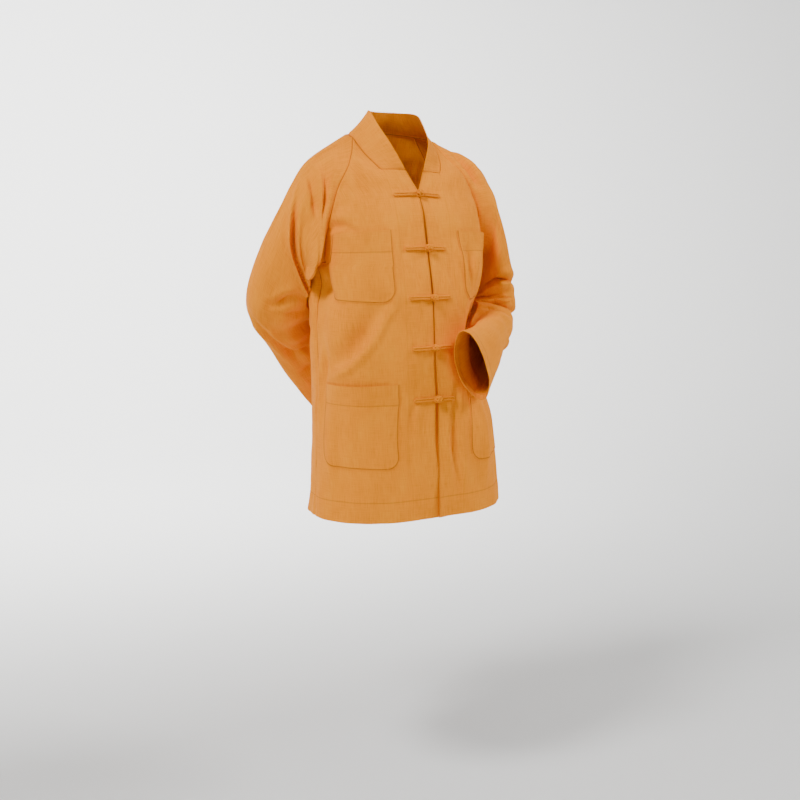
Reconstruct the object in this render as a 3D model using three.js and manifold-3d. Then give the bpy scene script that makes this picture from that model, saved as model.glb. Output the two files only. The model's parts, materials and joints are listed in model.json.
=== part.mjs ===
// A short front-opening jacket with raglan sleeves, a stand-away collar band, four patch pockets and
// five knotted frog closures, standing hollow in the pose in which it is worn.
// Millimetres, +Z up. The front faces -Y and the wearer's left is +X. The origin is the middle of the
// neck at the height of the shoulder-neck points, where the jacket rests on whoever wears it.
import * as THREE from 'three';
import Module from 'manifold-3d';
import { mergeVertices } from 'three/addons/utils/BufferGeometryUtils.js';

// ---- driving dimensions ----
const CLOTH = 2;                  // wall of every cut piece
const SEAM_GAP = 0.3;             // clearance between two pieces along a seam
const SEAM_EASE = 0.05;           // more of it on each side, for seams that turn
const SHARPEST_CORNER = 0.03;     // limits how far the gap draws in a pointed corner
const SECTION_POWER = 2.5;        // squareness of the torso's rings: 2 is an ellipse
const SHOULDER_DROP = 0.05;       // the wearer's left shoulder is lower: fall in z for each mm towards +X
const DROP_CHANGE = 0.0001;       // and how that slope turns the other way towards the hem, each mm down
const PLACKET = 62;               // first strip beside the front opening, which carries the frogs
const ARMPIT_HEIGHT = -252;
const FACETS_ROUND_SLEEVE = 24;
const NECK_FACETS = 4;            // of the sleeve's facets, those along the collar seam
const ARM_CLEARANCE = 6.5;        // of a sleeve's middle surface from the torso's, above the elbow
const FOREARM_CLEARANCE = 10;     // and below it
const ELBOW_STATION = 6;
const SLANTED_RINGS = 4;          // sleeve rings that slant like the armhole
const TORSO_FRONT = new THREE.Vector3(0, -1, 0);
const POCKET_IN = 83;             // from the opening to the near edge of each pocket
const CHEST_POCKET_WIDTH = 158;
const HIP_POCKET_WIDTH = 176;
const POCKET_CORNER = 30;
const BACK_FACETS = 14;
const COLLAR_FACETS = 3;
const COLLAR_HOLLOW = 3;          // how far the band's middle dips towards the neck
const BAND_WIDTH = 48;
const BACK_RISE = 4;              // of the middle of the back over the raglan seam in the top rows
const CHEST_HALF_GIRTH = 262;     // front panel's width at the chest and the hip, for its columns
const HIP_HALF_GIRTH = 285;
const BODY_RADIUS = 165;          // mean radii and ring spacing, for the sizes of folds
const ARM_RADIUS = 68;
const RING_SPACING = 52;
const FOLD_ENDS = 0.45;           // share of a fold's rise that it has at its two ends
const ROW_STEPS = 48;             // points along which a row's length is measured
const CORD_SPREAD = 0.9;          // of a bar's two cords from its middle, in cord radii
const CLOTH_COLOUR = 0xd08c46;
const CORD_COLOUR = 0xcf8a45;
const ROUGHNESS = 0.85;

// The torso's rings. half: half width. front and back: depth from the ring's own middle.
// midX and midY: that middle.
const TORSO = [
  { z: -800, half: 206, front: 174, back: 159, midX: 8, midY: -29 },
  { z: -650, half: 193, front: 176, back: 147, midX: 6, midY: -24 },
  { z: -522, half: 184, front: 175, back: 136, midX: 3, midY: -20 },
  { z: -415, half: 182, front: 167, back: 130, midX: 1, midY: -18 },
  { z: -313, half: 183, front: 162, back: 128, midX: 0, midY: -15 },
  { z: -213, half: 186, front: 146, back: 120, midX: 0, midY: -9 },
  { z: -145, half: 183, front: 132, back: 108, midX: 0, midY: -5 },
  { z: -99, half: 174, front: 112, back: 95, midX: 0, midY: 0 },
  { z: -60, half: 158, front: 97, back: 78, midX: 0, midY: 4 },
  { z: -30, half: 134, front: 62, back: 64, midX: 0, midY: 7 },
  { z: 6, half: 101, front: 30, back: 53, midX: 0, midY: 11 },
  { z: 24, half: 92, front: 28, back: 52, midX: 0, midY: 12 },
];

// Rows of both fronts from the hem up. inner: height at the opening. outer: height at the side seam
// or, above the armpit, on the raglan seam. outerX: half width of the raglan seam there.
const ROWS = [
  { name: 'hem', inner: -767, outer: -772 },
  { name: 'hem stitch', inner: -728, outer: -732 },
  { name: 'skirt', inner: -692, outer: -692 },
  { name: 'hip pocket foot', inner: -660, outer: -660 },
  { name: 'hip pocket corner', inner: -630, outer: -630 },
  { name: 'hip', inner: -580, outer: -582 },
  { name: 'high hip', inner: -530, outer: -536 },
  { name: 'hip pocket top', inner: -484, outer: -492 },
  { name: 'waist', inner: -440, outer: -446 },
  { name: 'above waist', inner: -400, outer: -402 },
  { name: 'low rib', inner: -360, outer: -360 },
  { name: 'chest pocket foot', inner: -324, outer: -322 },
  { name: 'chest pocket corner', inner: -294, outer: -292 },
  { name: 'armpit', inner: -256, outer: -252, outerX: 187 },
  { name: 'chest', inner: -216, outer: -226, outerX: 185.5 },
  { name: 'chest pocket top', inner: -172, outer: -192, outerX: 182.5 },
  { name: 'breast', inner: -136, outer: -152, outerX: 175.5 },
  { name: 'neckline foot', inner: -99, outer: -116, outerX: 165 },
  { name: 'neckline', inner: -78, outer: -90, outerX: 154 },
  { name: 'band end', inner: -57, outer: -66, outerX: 140 },
  { name: 'collar 1', outer: -44, outerX: 124 },
  { name: 'collar 2', outer: -26, outerX: 111 },
  { name: 'collar 3', outer: -10, outerX: 102 },
  { name: 'neck point', outer: 5, outerX: 94 },
];
const HIP_ROWS = 9;               // rows up to this one are laid out by the hip pocket
const HIP_POCKET_FOOT = 3;
const HIP_POCKET_TOP = 7;
const CHEST_POCKET_FOOT = 11;
const CHEST_POCKET_TOP = 15;
const ARMPIT = 13;
const NECKLINE_FOOT = 17;
const BAND_END = 19;
const NECK_POINT = 23;

// The collar from its squared end in front round to the middle of the back, on the wearer's left.
// seam: where it is sewn to the body. edge: its free edge, which is the neckline in front.
const COLLAR = [
  { name: 'band end', seam: [68, -84, -60], edge: [21, -98, -57] },
  { name: 'collar 1', seam: [79, -66, -44], edge: [33, -88, -30] },
  { name: 'collar 2', seam: [87, -43, -27], edge: [45, -72, 0] },
  { name: 'collar 3', seam: [92, -20, -9], edge: [55, -42, 32] },
  { name: 'neck point', seam: [94, 0, 5], edge: [56, -14, 56] },
  { name: 'sleeve head 1', seam: [93, 16, 9], edge: [52, 3, 61] },
  { name: 'sleeve head 2', seam: [88, 31, 12], edge: [48, 16, 62] },
  { name: 'back raglan', seam: [77, 44, 14], edge: [41, 26, 62] },
  { name: 'back 1', seam: [60, 54, 16], edge: [32, 34, 62] },
  { name: 'back 2', seam: [41, 60, 17], edge: [22, 38, 62] },
  { name: 'back 3', seam: [21, 63, 18], edge: [11, 41, 62] },
  { name: 'middle of the back', seam: [0, 64, 18], edge: [0, 42, 62] },
];

// The raglan seam at the back, from the armpit up to the collar.
const BACK_RAGLAN = [
  { z: -252, half: 187 },
  { z: -228, half: 181 },
  { z: -198, half: 177 },
  { z: -164, half: 170 },
  { z: -130, half: 160 },
  { z: -98, half: 147 },
  { z: -68, half: 131 },
  { z: -42, half: 114 },
  { z: -18, half: 98 },
  { z: 0, half: 86 },
  { z: 14, half: 77 },
];

// Rings along each sleeve: outer is the ring's point furthest from the torso, or lowest on a forearm,
// inner the one opposite, and deep half its size across those.
const SLEEVE_RIGHT = [
  { name: 'shoulder', outer: [-190, 10, -50], inner: [-207, 1, -243], deep: 73 },
  { name: 'armhole', outer: [-225, 16, -96], inner: [-199, 22, -270], deep: 73 },
  { name: 'high arm', outer: [-251, 30, -152], inner: [-168, 58, -298], deep: 70 },
  { name: 'upper arm', outer: [-270, 54, -214], inner: [-140, 88, -322], deep: 68 },
  { name: 'low arm', outer: [-279, 84, -274], inner: [-126, 110, -342], deep: 64 },
  { name: 'above elbow', outer: [-276, 114, -332], inner: [-124, 124, -362], deep: 60 },
  { name: 'elbow', outer: [-258, 146, -386], inner: [-122, 138, -372], deep: 58 },
  { name: 'below elbow', outer: [-224, 166, -430], inner: [-106, 152, -384], deep: 54 },
  { name: 'forearm', outer: [-182, 184, -478], inner: [-78, 170, -404], deep: 48 },
  { name: 'low forearm', outer: [-140, 196, -530], inner: [-40, 184, -442], deep: 42 },
  { name: 'wrist', outer: [-100, 204, -578], inner: [4, 198, -486], deep: 36 },
  { name: 'cuff', outer: [-74, 208, -608], inner: [36, 206, -514], deep: 31 },
];
const SLEEVE_LEFT = [
  { name: 'shoulder', outer: [202, 2, -46], inner: [209, -2, -248], deep: 73 },
  { name: 'armhole', outer: [226, 0, -96], inner: [208, -8, -267], deep: 71 },
  { name: 'high arm', outer: [243, -2, -152], inner: [199, -12, -294], deep: 69 },
  { name: 'upper arm', outer: [259, -4, -216], inner: [195, -16, -314], deep: 66 },
  { name: 'low arm', outer: [275, -6, -286], inner: [193, -22, -330], deep: 62 },
  { name: 'above elbow', outer: [278, -2, -350], inner: [189, -40, -338], deep: 57 },
  { name: 'elbow', outer: [268, 6, -410], inner: [186, -62, -344], deep: 50 },
  { name: 'below elbow', outer: [236, -34, -446], inner: [176, -102, -348], deep: 42 },
  { name: 'forearm', outer: [196, -86, -470], inner: [142, -138, -356], deep: 36 },
  { name: 'low forearm', outer: [156, -138, -492], inner: [104, -180, -366], deep: 32 },
  { name: 'wrist', outer: [114, -190, -512], inner: [62, -214, -374], deep: 29 },
  { name: 'cuff', outer: [88, -226, -522], inner: [30, -242, -378], deep: 28 },
];

// Half the parting between the two fronts, and how far it wanders sideways.
const PARTING = [
  { z: -800, half: 2.2, shift: 2 },
  { z: -700, half: 3.6, shift: 1 },
  { z: -620, half: 3.4, shift: -2 },
  { z: -522, half: 0.8, shift: 0 },
  { z: -60, half: 0.8, shift: 0 },
];

// Where a forearm held across the front presses the cloth in. ahead and behind: how far round that
// reaches towards the opening and towards the back, in radians.
const PRESS = { z: -415, reach: 94, angle: 0.95, ahead: 0.47, behind: 0.65, depth: 46 };

// The largest folds of the body. from and to: [turn, z], the turn in radians from the middle of the
// front and positive to the wearer's left. width: half width in mm. rise: negative for a trough.
const BODY_FOLDS = [
  { name: 'drag over the belly', from: [-0.5, -400], to: [-1.1, -480], width: 34, rise: 5 },
  { name: 'under the right chest', from: [-0.75, -345], to: [-1.35, -300], width: 30, rise: -6 },
  { name: 'below the forearm', from: [0.45, -520], to: [0.6, -690], width: 30, rise: 6 },
  { name: 'beside it', from: [0.78, -540], to: [0.95, -772], width: 32, rise: -5 },
  { name: 'left flare', from: [1.35, -600], to: [1.3, -790], width: 40, rise: 6 },
  { name: 'right flare', from: [-1.5, -560], to: [-1.42, -790], width: 38, rise: 7 },
  { name: 'back waist', from: [-2.7, -330], to: [-1.9, -380], width: 36, rise: -7 },
  { name: 'back flare right', from: [-2.3, -470], to: [-2.2, -790], width: 42, rise: -9 },
  { name: 'back flare left', from: [2.5, -430], to: [2.35, -790], width: 42, rise: -10 },
  { name: 'blade left', from: [2.2, -170], to: [2.6, -290], width: 34, rise: -6 },
];

// The largest folds of the sleeves. from and to: [turn, station], the turn in radians from the outside
// of the arm and positive to its front, the station counted in rings. width: half width in mm.
const SLEEVE_FOLDS = [
  { name: 'right front drop', side: -1, from: [1.2, 1.2], to: [0.9, 3.6], width: 26, rise: -7 },
  { name: 'right inside', side: -1, from: [2.2, 2.2], to: [1.5, 5.2], width: 24, rise: 6 },
  { name: 'right elbow', side: -1, from: [2.9, 6], to: [0.9, 6.9], width: 22, rise: -9 },
  { name: 'right forearm', side: -1, from: [3, 7.6], to: [1.1, 8.3], width: 22, rise: -7 },
  { name: 'left elbow upper', side: 1, from: [3.4, 5.4], to: [1, 5.6], width: 22, rise: -8 },
  { name: 'left elbow lower', side: 1, from: [3.2, 6.6], to: [0.9, 6.9], width: 20, rise: -8 },
  { name: 'left outer drop', side: 1, from: [0.7, 1.4], to: [0.5, 3.8], width: 26, rise: -7 },
  { name: 'left armpit', side: 1, from: [2.2, 1.6], to: [1.5, 3.6], width: 24, rise: 6 },
];

// Knotted closures down the opening.
const FROGS = [{ z: -106 }, { z: -213 }, { z: -313 }, { z: -415 }, { z: -520 }];
const CORD = 1.9;                 // radius of the rolled cord
const LOOP_BAR = 50;
const KNOT_BAR = 42;
const LOOP_RADIUS = 5.7;
const KNOT_RADIUS = 6;
const KNOT_HEIGHT = 13.8;         // of its middle above the cloth
const LOOP_SLOPE = 0.37;          // the loop climbs over the other bar's cords
const LIFT = 0.3;                 // clearance between what lies on a panel and the panel

// ---- tables read smoothly ----
const mix = THREE.MathUtils.lerp;

// The value of one column of a table at any height or place, by a smooth curve through its rows.
function read(table, column, at, key = 'z') {
  const last = table.length - 1;
  const rising = table[last][key] > table[0][key];
  let i = 0;
  while (i < last - 1 && (rising ? at > table[i + 1][key] : at < table[i + 1][key])) i++;
  const [a, b] = [table[i], table[i + 1]];
  const before = table[Math.max(i - 1, 0)];
  const after = table[Math.min(i + 2, last)];
  const span = b[key] - a[key];
  const slope = (p, q) => (q[key] === p[key] ? 0 : ((q[column] - p[column]) / (q[key] - p[key])) * span);
  const t = THREE.MathUtils.clamp((at - a[key]) / span, 0, 1);
  const [m0, m1] = [slope(before, b), slope(a, after)];
  return (2 * t ** 3 - 3 * t ** 2 + 1) * a[column] + (t ** 3 - 2 * t ** 2 + t) * m0
    + (3 * t ** 2 - 2 * t ** 3) * b[column] + (t ** 3 - t ** 2) * m1;
}

// The shoulders slope down to the wearer's left and the hem to the right, as the weight is on one leg.
const settle = (x, y, z) => new THREE.Vector3(x, y, z - (SHOULDER_DROP + DROP_CHANGE * z) * x);

// How far all the folds of a table together move the cloth at one place. The place is a turn and a
// distance along, and round and along are how many mm each unit of those is.
function foldAt(folds, turn, place, round, along) {
  let moved = 0;
  for (const { from, to, width, rise } of folds) {
    const [dx, dy] = [(to[0] - from[0]) * round, (to[1] - from[1]) * along];
    const [px, py] = [(turn - from[0]) * round, (place - from[1]) * along];
    const t = THREE.MathUtils.clamp((px * dx + py * dy) / (dx * dx + dy * dy), 0, 1);
    const off = Math.hypot(px - t * dx, py - t * dy) / width;
    moved += rise * Math.exp(-(off ** 2)) * mix(FOLD_ENDS, 1, Math.sin(Math.PI * t));
  }
  return moved;
}

// ---- the torso's surface ----
// The half width and depth of the torso at one place. angle runs from 0 in the middle of the front or
// back to a quarter turn at the side seam.
function sizesAt(side, face, angle, z) {
  const fromFront = face === 'front' ? angle : Math.PI - angle;
  const away = (fromFront - PRESS.angle) / (fromFront < PRESS.angle ? PRESS.ahead : PRESS.behind);
  const near = (z - PRESS.z) / PRESS.reach;
  const pressed = side > 0 ? PRESS.depth * Math.exp(-(away ** 2) - near ** 2) : 0;
  const folded = foldAt(BODY_FOLDS, side * fromFront, z, BODY_RADIUS, 1) - pressed;
  return { half: read(TORSO, 'half', z) + folded, depth: read(TORSO, face, z) + folded };
}

function torso(side, face, angle, z) {
  const { half, depth } = sizesAt(side, face, angle, z);
  const reach = Math.sin(angle) ** (2 / SECTION_POWER);
  const rise = Math.max(Math.cos(angle), 0) ** (2 / SECTION_POWER);
  const sign = face === 'front' ? -1 : 1;
  return [read(TORSO, 'midX', z) + side * half * reach, read(TORSO, 'midY', z) + sign * depth * rise, z];
}

// Moves a sleeve's point that is nearer to the front or the back than clear out to that distance.
// Beyond the raglan seam the sleeve is the body's own cover and stays as it is.
function keepClear(p, clear) {
  if (p.z > ARMPIT_HEIGHT && Math.abs(p.x) > raglanHalf(p.y < 0, p.z)) return p;
  const [midX, midY] = [read(TORSO, 'midX', p.z), read(TORSO, 'midY', p.z)];
  const [x, y] = [p.x - midX, p.y - midY];
  const face = y < 0 ? 'front' : 'back';
  const power = SECTION_POWER / 2;
  const plain = sizesAt(Math.sign(x), face, 0, p.z);
  const angle = Math.atan2((Math.abs(x) / plain.half) ** power, (Math.abs(y) / plain.depth) ** power);
  const { half, depth } = sizesAt(Math.sign(x), face, angle, p.z);
  const size = ((Math.abs(x) / half) ** SECTION_POWER + (Math.abs(y) / depth) ** SECTION_POWER) ** (1 / SECTION_POWER);
  const reach = Math.hypot(x, y) / size + clear;
  const grow = Math.max(reach / Math.hypot(x, y), 1);
  p.x = midX + x * grow;
  p.y = midY + y * grow;
  return p;
}

// Half width of the raglan seam at a height, in front or at the back.
function raglanHalf(inFront, z) {
  return inFront ? read(ROWS.slice(ARMPIT), 'outerX', z, 'outer') : read(BACK_RAGLAN, 'half', z);
}

// The angle at which the torso's surface has a given half width.
function angleAt(x, z, side) {
  const share = THREE.MathUtils.clamp((x - side * read(TORSO, 'midX', z)) / read(TORSO, 'half', z), 0, 1);
  return Math.asin(share ** (SECTION_POWER / 2));
}

// A row of points on the torso from one place to another, at the given shares of its length.
function rowOnTorso(side, face, from, to, shares) {
  const fine = [];
  for (let k = 0; k <= ROW_STEPS; k++) {
    const t = k / ROW_STEPS;
    const z = mix(from.z, to.z, t);
    fine.push(new THREE.Vector3(...torso(side, face, mix(from.angle, to.angle, t), z)));
  }
  const length = [0];
  for (let k = 1; k <= ROW_STEPS; k++) length.push(length[k - 1] + fine[k].distanceTo(fine[k - 1]));
  const total = length[ROW_STEPS];
  return shares(total).map((distance) => {
    let k = 1;
    while (k < ROW_STEPS && length[k] < distance) k++;
    const t = THREE.MathUtils.clamp((distance - length[k - 1]) / (length[k] - length[k - 1]), 0, 1);
    return fine[k - 1].clone().lerp(fine[k], t);
  });
}

// ---- the collar's two edges ----
const COLLAR_FRONT = NECK_POINT - BAND_END;
const BACK_RAGLAN_STATION = COLLAR_FRONT + 3;
const MIDDLE_STATION = COLLAR.length - 1;

// Both edges as curves that run from one band end round the neck to the other.
function collarCurve(column) {
  const left = COLLAR.map((row) => new THREE.Vector3(...row[column]));
  const right = left.slice(0, -1).reverse().map((p) => new THREE.Vector3(-p.x, p.y, p.z));
  return new THREE.CatmullRomCurve3([...left, ...right], false, 'centripetal');
}
const collarSeam = collarCurve('seam');
const collarEdge = collarCurve('edge');
const collarPoint = (curve, station) => curve.getPoint(station / (2 * MIDDLE_STATION));

// Stations round the whole collar: the fronts' rows, the sleeve heads' facets, the back's facets.
function collarStations() {
  const stations = [];
  for (let k = 0; k < COLLAR_FRONT; k++) stations.push(k);
  const head = BACK_RAGLAN_STATION - COLLAR_FRONT;
  for (let k = 0; k < NECK_FACETS; k++) stations.push(COLLAR_FRONT + (head * k) / NECK_FACETS);
  const half = MIDDLE_STATION - BACK_RAGLAN_STATION;
  for (let k = 0; k <= BACK_FACETS / 2; k++) stations.push(BACK_RAGLAN_STATION + (2 * half * k) / BACK_FACETS);
  const mirrored = stations.slice(0, -1).reverse().map((s) => 2 * MIDDLE_STATION - s);
  return [...stations, ...mirrored];
}

// ---- the cut pieces as grids of points ----
// Distances from the opening of the front's columns beyond the first: placket, pocket and side.
function frontColumns(row, inner, total) {
  const width = row <= HIP_ROWS ? HIP_POCKET_WIDTH : CHEST_POCKET_WIDTH;
  const full = row <= HIP_ROWS ? HIP_HALF_GIRTH : CHEST_HALF_GIRTH;
  const scale = Math.min(1, (total - inner) / (full - PLACKET));
  const near = inner + (POCKET_IN - PLACKET) * scale;
  const far = near + width * scale;
  const corner = POCKET_CORNER * scale;
  const middle = [0, 1, 2, 3].map((k) => mix(near + corner, far - corner, k / 3));
  return [near, ...middle, far, mix(far, total, 0.5), total];
}

// Moves a row's first points onto their true places, fading out towards its far end.
function pullTo(points, first, target) {
  const shift = target.clone().sub(points[first]);
  const last = points.length - 1;
  points.forEach((p, c) => {
    if (c >= first) p.addScaledVector(shift, ((last - c) / (last - first)) ** 2);
  });
}

function frontGrid(side) {
  const place = (curve, r) => collarPoint(curve, r - BAND_END).multiply(new THREE.Vector3(side, 1, 1));
  return ROWS.map((row, r) => {
    const angle = r > ARMPIT ? angleAt(row.outerX, row.outer, side) : Math.PI / 2;
    const to = { z: row.outer, angle };
    if (r > BAND_END) {
      const seam = place(collarSeam, r);
      // The front ends in a point at the neck.
      if (r === NECK_POINT) return [null, ...Array.from({ length: 9 }, () => seam.clone())];
      const from = { z: seam.z, angle: angleAt(Math.abs(seam.x), seam.z, side) };
      const points = rowOnTorso(side, 'front', from, to, (total) => [0, ...frontColumns(r, 0, total)]);
      pullTo(points, 0, seam);
      return [null, ...points];
    }
    const above = Math.max(r - NECKLINE_FOOT, 0) / (BAND_END - NECKLINE_FOOT);
    const open = read(PARTING, 'half', row.inner) + side * read(PARTING, 'shift', row.inner);
    const from = { z: row.inner, angle: angleAt(mix(open, COLLAR[0].edge[0], above), row.inner, side) };
    const placket = mix(PLACKET, BAND_WIDTH, above);
    const points = rowOnTorso(side, 'front', from, to, (total) => [0, placket, ...frontColumns(r, placket, total)]);
    if (r === BAND_END) {
      pullTo(points, 1, place(collarSeam, r));
      points[0].copy(place(collarEdge, r));
    }
    return points;
  });
}

// The back: its rows meet the fronts' along the side seams, and the collar at the top.
function backGrid() {
  return ROWS.map((row, r) => {
    const k = r - ARMPIT;
    if (r === NECK_POINT) {
      const span = 2 * (MIDDLE_STATION - BACK_RAGLAN_STATION);
      return Array.from({ length: BACK_FACETS + 1 }, (_, c) =>
        collarPoint(collarSeam, 2 * MIDDLE_STATION - BACK_RAGLAN_STATION - (span * c) / BACK_FACETS));
    }
    const z = k > 0 ? BACK_RAGLAN[k].z : row.outer;
    const rise = k > 0 ? BACK_RISE * (k / (NECK_POINT - ARMPIT)) : 0;
    const halfRow = (side) => {
      const angle = k > 0 ? angleAt(BACK_RAGLAN[k].half, z, side) : Math.PI / 2;
      const shares = (total) => Array.from({ length: BACK_FACETS / 2 + 1 }, (_, c) => (2 * total * c) / BACK_FACETS);
      return rowOnTorso(side, 'back', { z: z + rise, angle: 0 }, { z, angle }, shares);
    };
    return [...halfRow(-1).reverse(), ...halfRow(1).slice(1)];
  });
}

// A sleeve: its first ring is the raglan seam with its stretch of the collar seam, and smooth curves
// run from there through the named rings to the cuff.
function sleeveGrid(side, rings, front, back) {
  const columns = front[0].length - 1;
  const frontSeam = [];
  for (let r = NECK_POINT; r >= ARMPIT; r--) frontSeam.push(front[r][columns]);
  const backColumn = side > 0 ? BACK_FACETS : 0;
  const backSeam = [];
  for (let r = ARMPIT + 1; r <= NECK_POINT; r++) backSeam.push(back[r][backColumn]);
  const head = [];
  for (let k = NECK_FACETS - 1; k > 0; k--) {
    const station = COLLAR_FRONT + ((BACK_RAGLAN_STATION - COLLAR_FRONT) * k) / NECK_FACETS;
    head.push(collarPoint(collarSeam, station).multiply(new THREE.Vector3(side, 1, 1)));
  }
  const seam = [...frontSeam, ...backSeam, ...head];
  const middles = rings.map((ring) => {
    const [a, b] = [ring.outer, ring.inner];
    return new THREE.Vector3((a[0] + b[0]) / 2, (a[1] + b[1]) / 2, (a[2] + b[2]) / 2);
  });
  // Each column keeps the turn round the arm at which it leaves the raglan seam.
  const evenTurn = (j) => ((j + NECK_FACETS / 2) / FACETS_ROUND_SLEEVE) * 2 * Math.PI;
  let seamTurns = [];
  const loops = rings.map((ring, k) => {
    const up = new THREE.Vector3(...ring.outer).sub(middles[k]);
    const along = middles[Math.min(k + 1, rings.length - 1)].clone().sub(middles[Math.max(k - 1, 0)]);
    const squareToArm = new THREE.Vector3().crossVectors(along, up).normalize().multiplyScalar(side);
    // The first rings slant like the armhole, so their front is the front of the torso.
    const forward = TORSO_FRONT.clone().projectOnPlane(up.clone().normalize()).normalize()
      .lerp(squareToArm, Math.min(k / SLANTED_RINGS, 1)).projectOnPlane(up.clone().normalize()).setLength(ring.deep);
    if (k === 0) {
      seamTurns = seam.map((p, j) => {
        const arm = p.clone().sub(middles[0]);
        const turn = Math.atan2(arm.dot(forward) / ring.deep ** 2, arm.dot(up) / up.lengthSq());
        return turn + 2 * Math.PI * Math.round((evenTurn(j) - turn) / (2 * Math.PI));
      });
    }
    return seam.map((_, j) => {
      const turn = seamTurns[j];
      return middles[k].clone().addScaledVector(up, Math.cos(turn)).addScaledVector(forward, Math.sin(turn));
    });
  });
  const curves = seam.map((p, j) => new THREE.CatmullRomCurve3([p, ...loops.map((loop) => loop[j])], false, 'centripetal'));
  const stations = [0, 0.5, 1, 1.5, 2, 3, 4, 5, 5.5, 6, 6.5, 7, 8, 9, 10, 11, 12];
  const folds = SLEEVE_FOLDS.filter((fold) => fold.side === side);
  return stations.map((s) => {
    const ring = curves.map((curve) => curve.getPoint(s / rings.length));
    if (s === 0) return ring;
    const middle = ring.reduce((sum, p) => sum.add(p), new THREE.Vector3()).divideScalar(ring.length);
    return ring.map((p, j) => {
      const turn = THREE.MathUtils.euclideanModulo(seamTurns[j], 2 * Math.PI);
      const moved = foldAt(folds, turn, s, ARM_RADIUS, RING_SPACING);
      p.addScaledVector(p.clone().sub(middle).normalize(), moved);
      return keepClear(p, s > ELBOW_STATION ? FOREARM_CLEARANCE : ARM_CLEARANCE);
    });
  });
}

// The collar from its seam up to its free edge, station by station round the neck.
function collarGrid() {
  const stations = collarStations();
  return Array.from({ length: COLLAR_FACETS + 1 }, (_, k) => stations.map((s, c) => {
    const [low, high] = [collarPoint(collarSeam, s), collarPoint(collarEdge, s)];
    const t = k / COLLAR_FACETS;
    const inEnds = Math.min(1, Math.min(c, stations.length - 1 - c) / COLLAR_FRONT);
    const inward = low.clone().add(high).multiplyScalar(0.5).sub(new THREE.Vector3(0, 0, low.z)).negate();
    inward.z = 0;
    return low.lerp(high, t).addScaledVector(inward.normalize(), COLLAR_HOLLOW * inEnds * Math.sin(Math.PI * t));
  }));
}

// ---- walls ----
// A patch is a grid of points, rows by columns, of which keep says which cells are cloth.
const patch = (name, points, flip, options = {}) => ({
  name, points, flip, wrap: false, keep: () => true, ...options,
});
const keyOf = (p) => `${Math.round(p.x * 500)},${Math.round(p.y * 500)},${Math.round(p.z * 500)}`;

function cellsOf({ points, wrap, flip, keep }) {
  const cells = [];
  const across = wrap ? points[0].length : points[0].length - 1;
  for (let r = 0; r < points.length - 1; r++) {
    for (let c = 0; c < across; c++) {
      if (!keep(r, c)) continue;
      const d = (c + 1) % points[0].length;
      const cell = [[r, c], [r, d], [r + 1, d], [r + 1, c]];
      cells.push(flip ? cell.reverse() : cell);
    }
  }
  return cells;
}

// One outward direction for each place, shared by all the patches that meet there.
function sharedNormals(patches) {
  const normals = new Map();
  for (const one of patches) {
    for (const cell of cellsOf(one)) {
      const [a, b, c, d] = cell.map(([r, k]) => one.points[r][k]);
      const n = new THREE.Vector3().crossVectors(c.clone().sub(a), d.clone().sub(b));
      for (const p of [a, b, c, d]) {
        const key = keyOf(p);
        normals.set(key, (normals.get(key) ?? new THREE.Vector3()).add(n));
      }
    }
  }
  for (const n of normals.values()) n.normalize();
  return normals;
}

// A closed wall on a patch: its faces moved out by from and to, its edges drawn in for the seam gap.
function wall(one, normals, from = -CLOTH / 2, to = CLOTH / 2) {
  const ids = new Map();
  const places = [];
  const idOf = ([r, c]) => {
    const p = one.points[r][c];
    const key = keyOf(p);
    if (!ids.has(key)) {
      ids.set(key, places.length);
      places.push({ p, n: normals.get(key) ?? one.normals[r][c] });
    }
    return ids.get(key);
  };
  const faces = [];
  const edges = new Map();
  for (const cell of cellsOf(one)) {
    const [a, b, c, d] = cell.map(idOf);
    for (const face of [[a, b, c], [a, c, d]]) {
      if (new Set(face).size === 3) faces.push(face);
    }
  }
  for (const [a, b, c] of faces) {
    for (const [p, q] of [[a, b], [b, c], [c, a]]) edges.set(`${p},${q}`, [p, q]);
  }
  const rim = [...edges.values()].filter(([p, q]) => !edges.has(`${q},${p}`));
  const inwards = places.map(() => []);
  for (const [p, q] of rim) {
    const along = places[q].p.clone().sub(places[p].p).normalize();
    for (const v of [p, q]) inwards[v].push(new THREE.Vector3().crossVectors(places[v].n, along).normalize());
  }
  const corners = [];
  for (const side of [from, to]) {
    places.forEach(({ p, n }, v) => {
      const q = p.clone().addScaledVector(n, side);
      if (inwards[v].length === 2) {
        const [a, b] = inwards[v];
        q.addScaledVector(a.clone().add(b), (SEAM_GAP / 2 + SEAM_EASE) / Math.max(1 + a.dot(b), SHARPEST_CORNER));
      }
      corners.push(...settle(q.x, q.y, q.z));
    });
  }
  const n = places.length;
  const triangles = faces.flatMap(([a, b, c]) => [a + n, b + n, c + n, a, c, b]);
  // Two pieces that meet along a seam split its end face on the same diagonal.
  for (const [p, q] of rim) {
    const first = keyOf(places[p].p) < keyOf(places[q].p);
    triangles.push(...(first ? [p, q, q + n, p, q + n, p + n] : [p, q, p + n, q, q + n, p + n]));
  }
  const geometry = new THREE.BufferGeometry();
  geometry.setAttribute('position', new THREE.Float32BufferAttribute(corners, 3));
  geometry.setIndex(triangles);
  geometry.computeVertexNormals();
  return geometry;
}

const jacket = new THREE.Group();
function add(name, geometry, color = CLOTH_COLOUR) {
  const material = new THREE.MeshStandardMaterial({ color, roughness: ROUGHNESS, metalness: 0 });
  const mesh = new THREE.Mesh(geometry, material);
  mesh.name = name;
  jacket.add(mesh);
}

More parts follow.
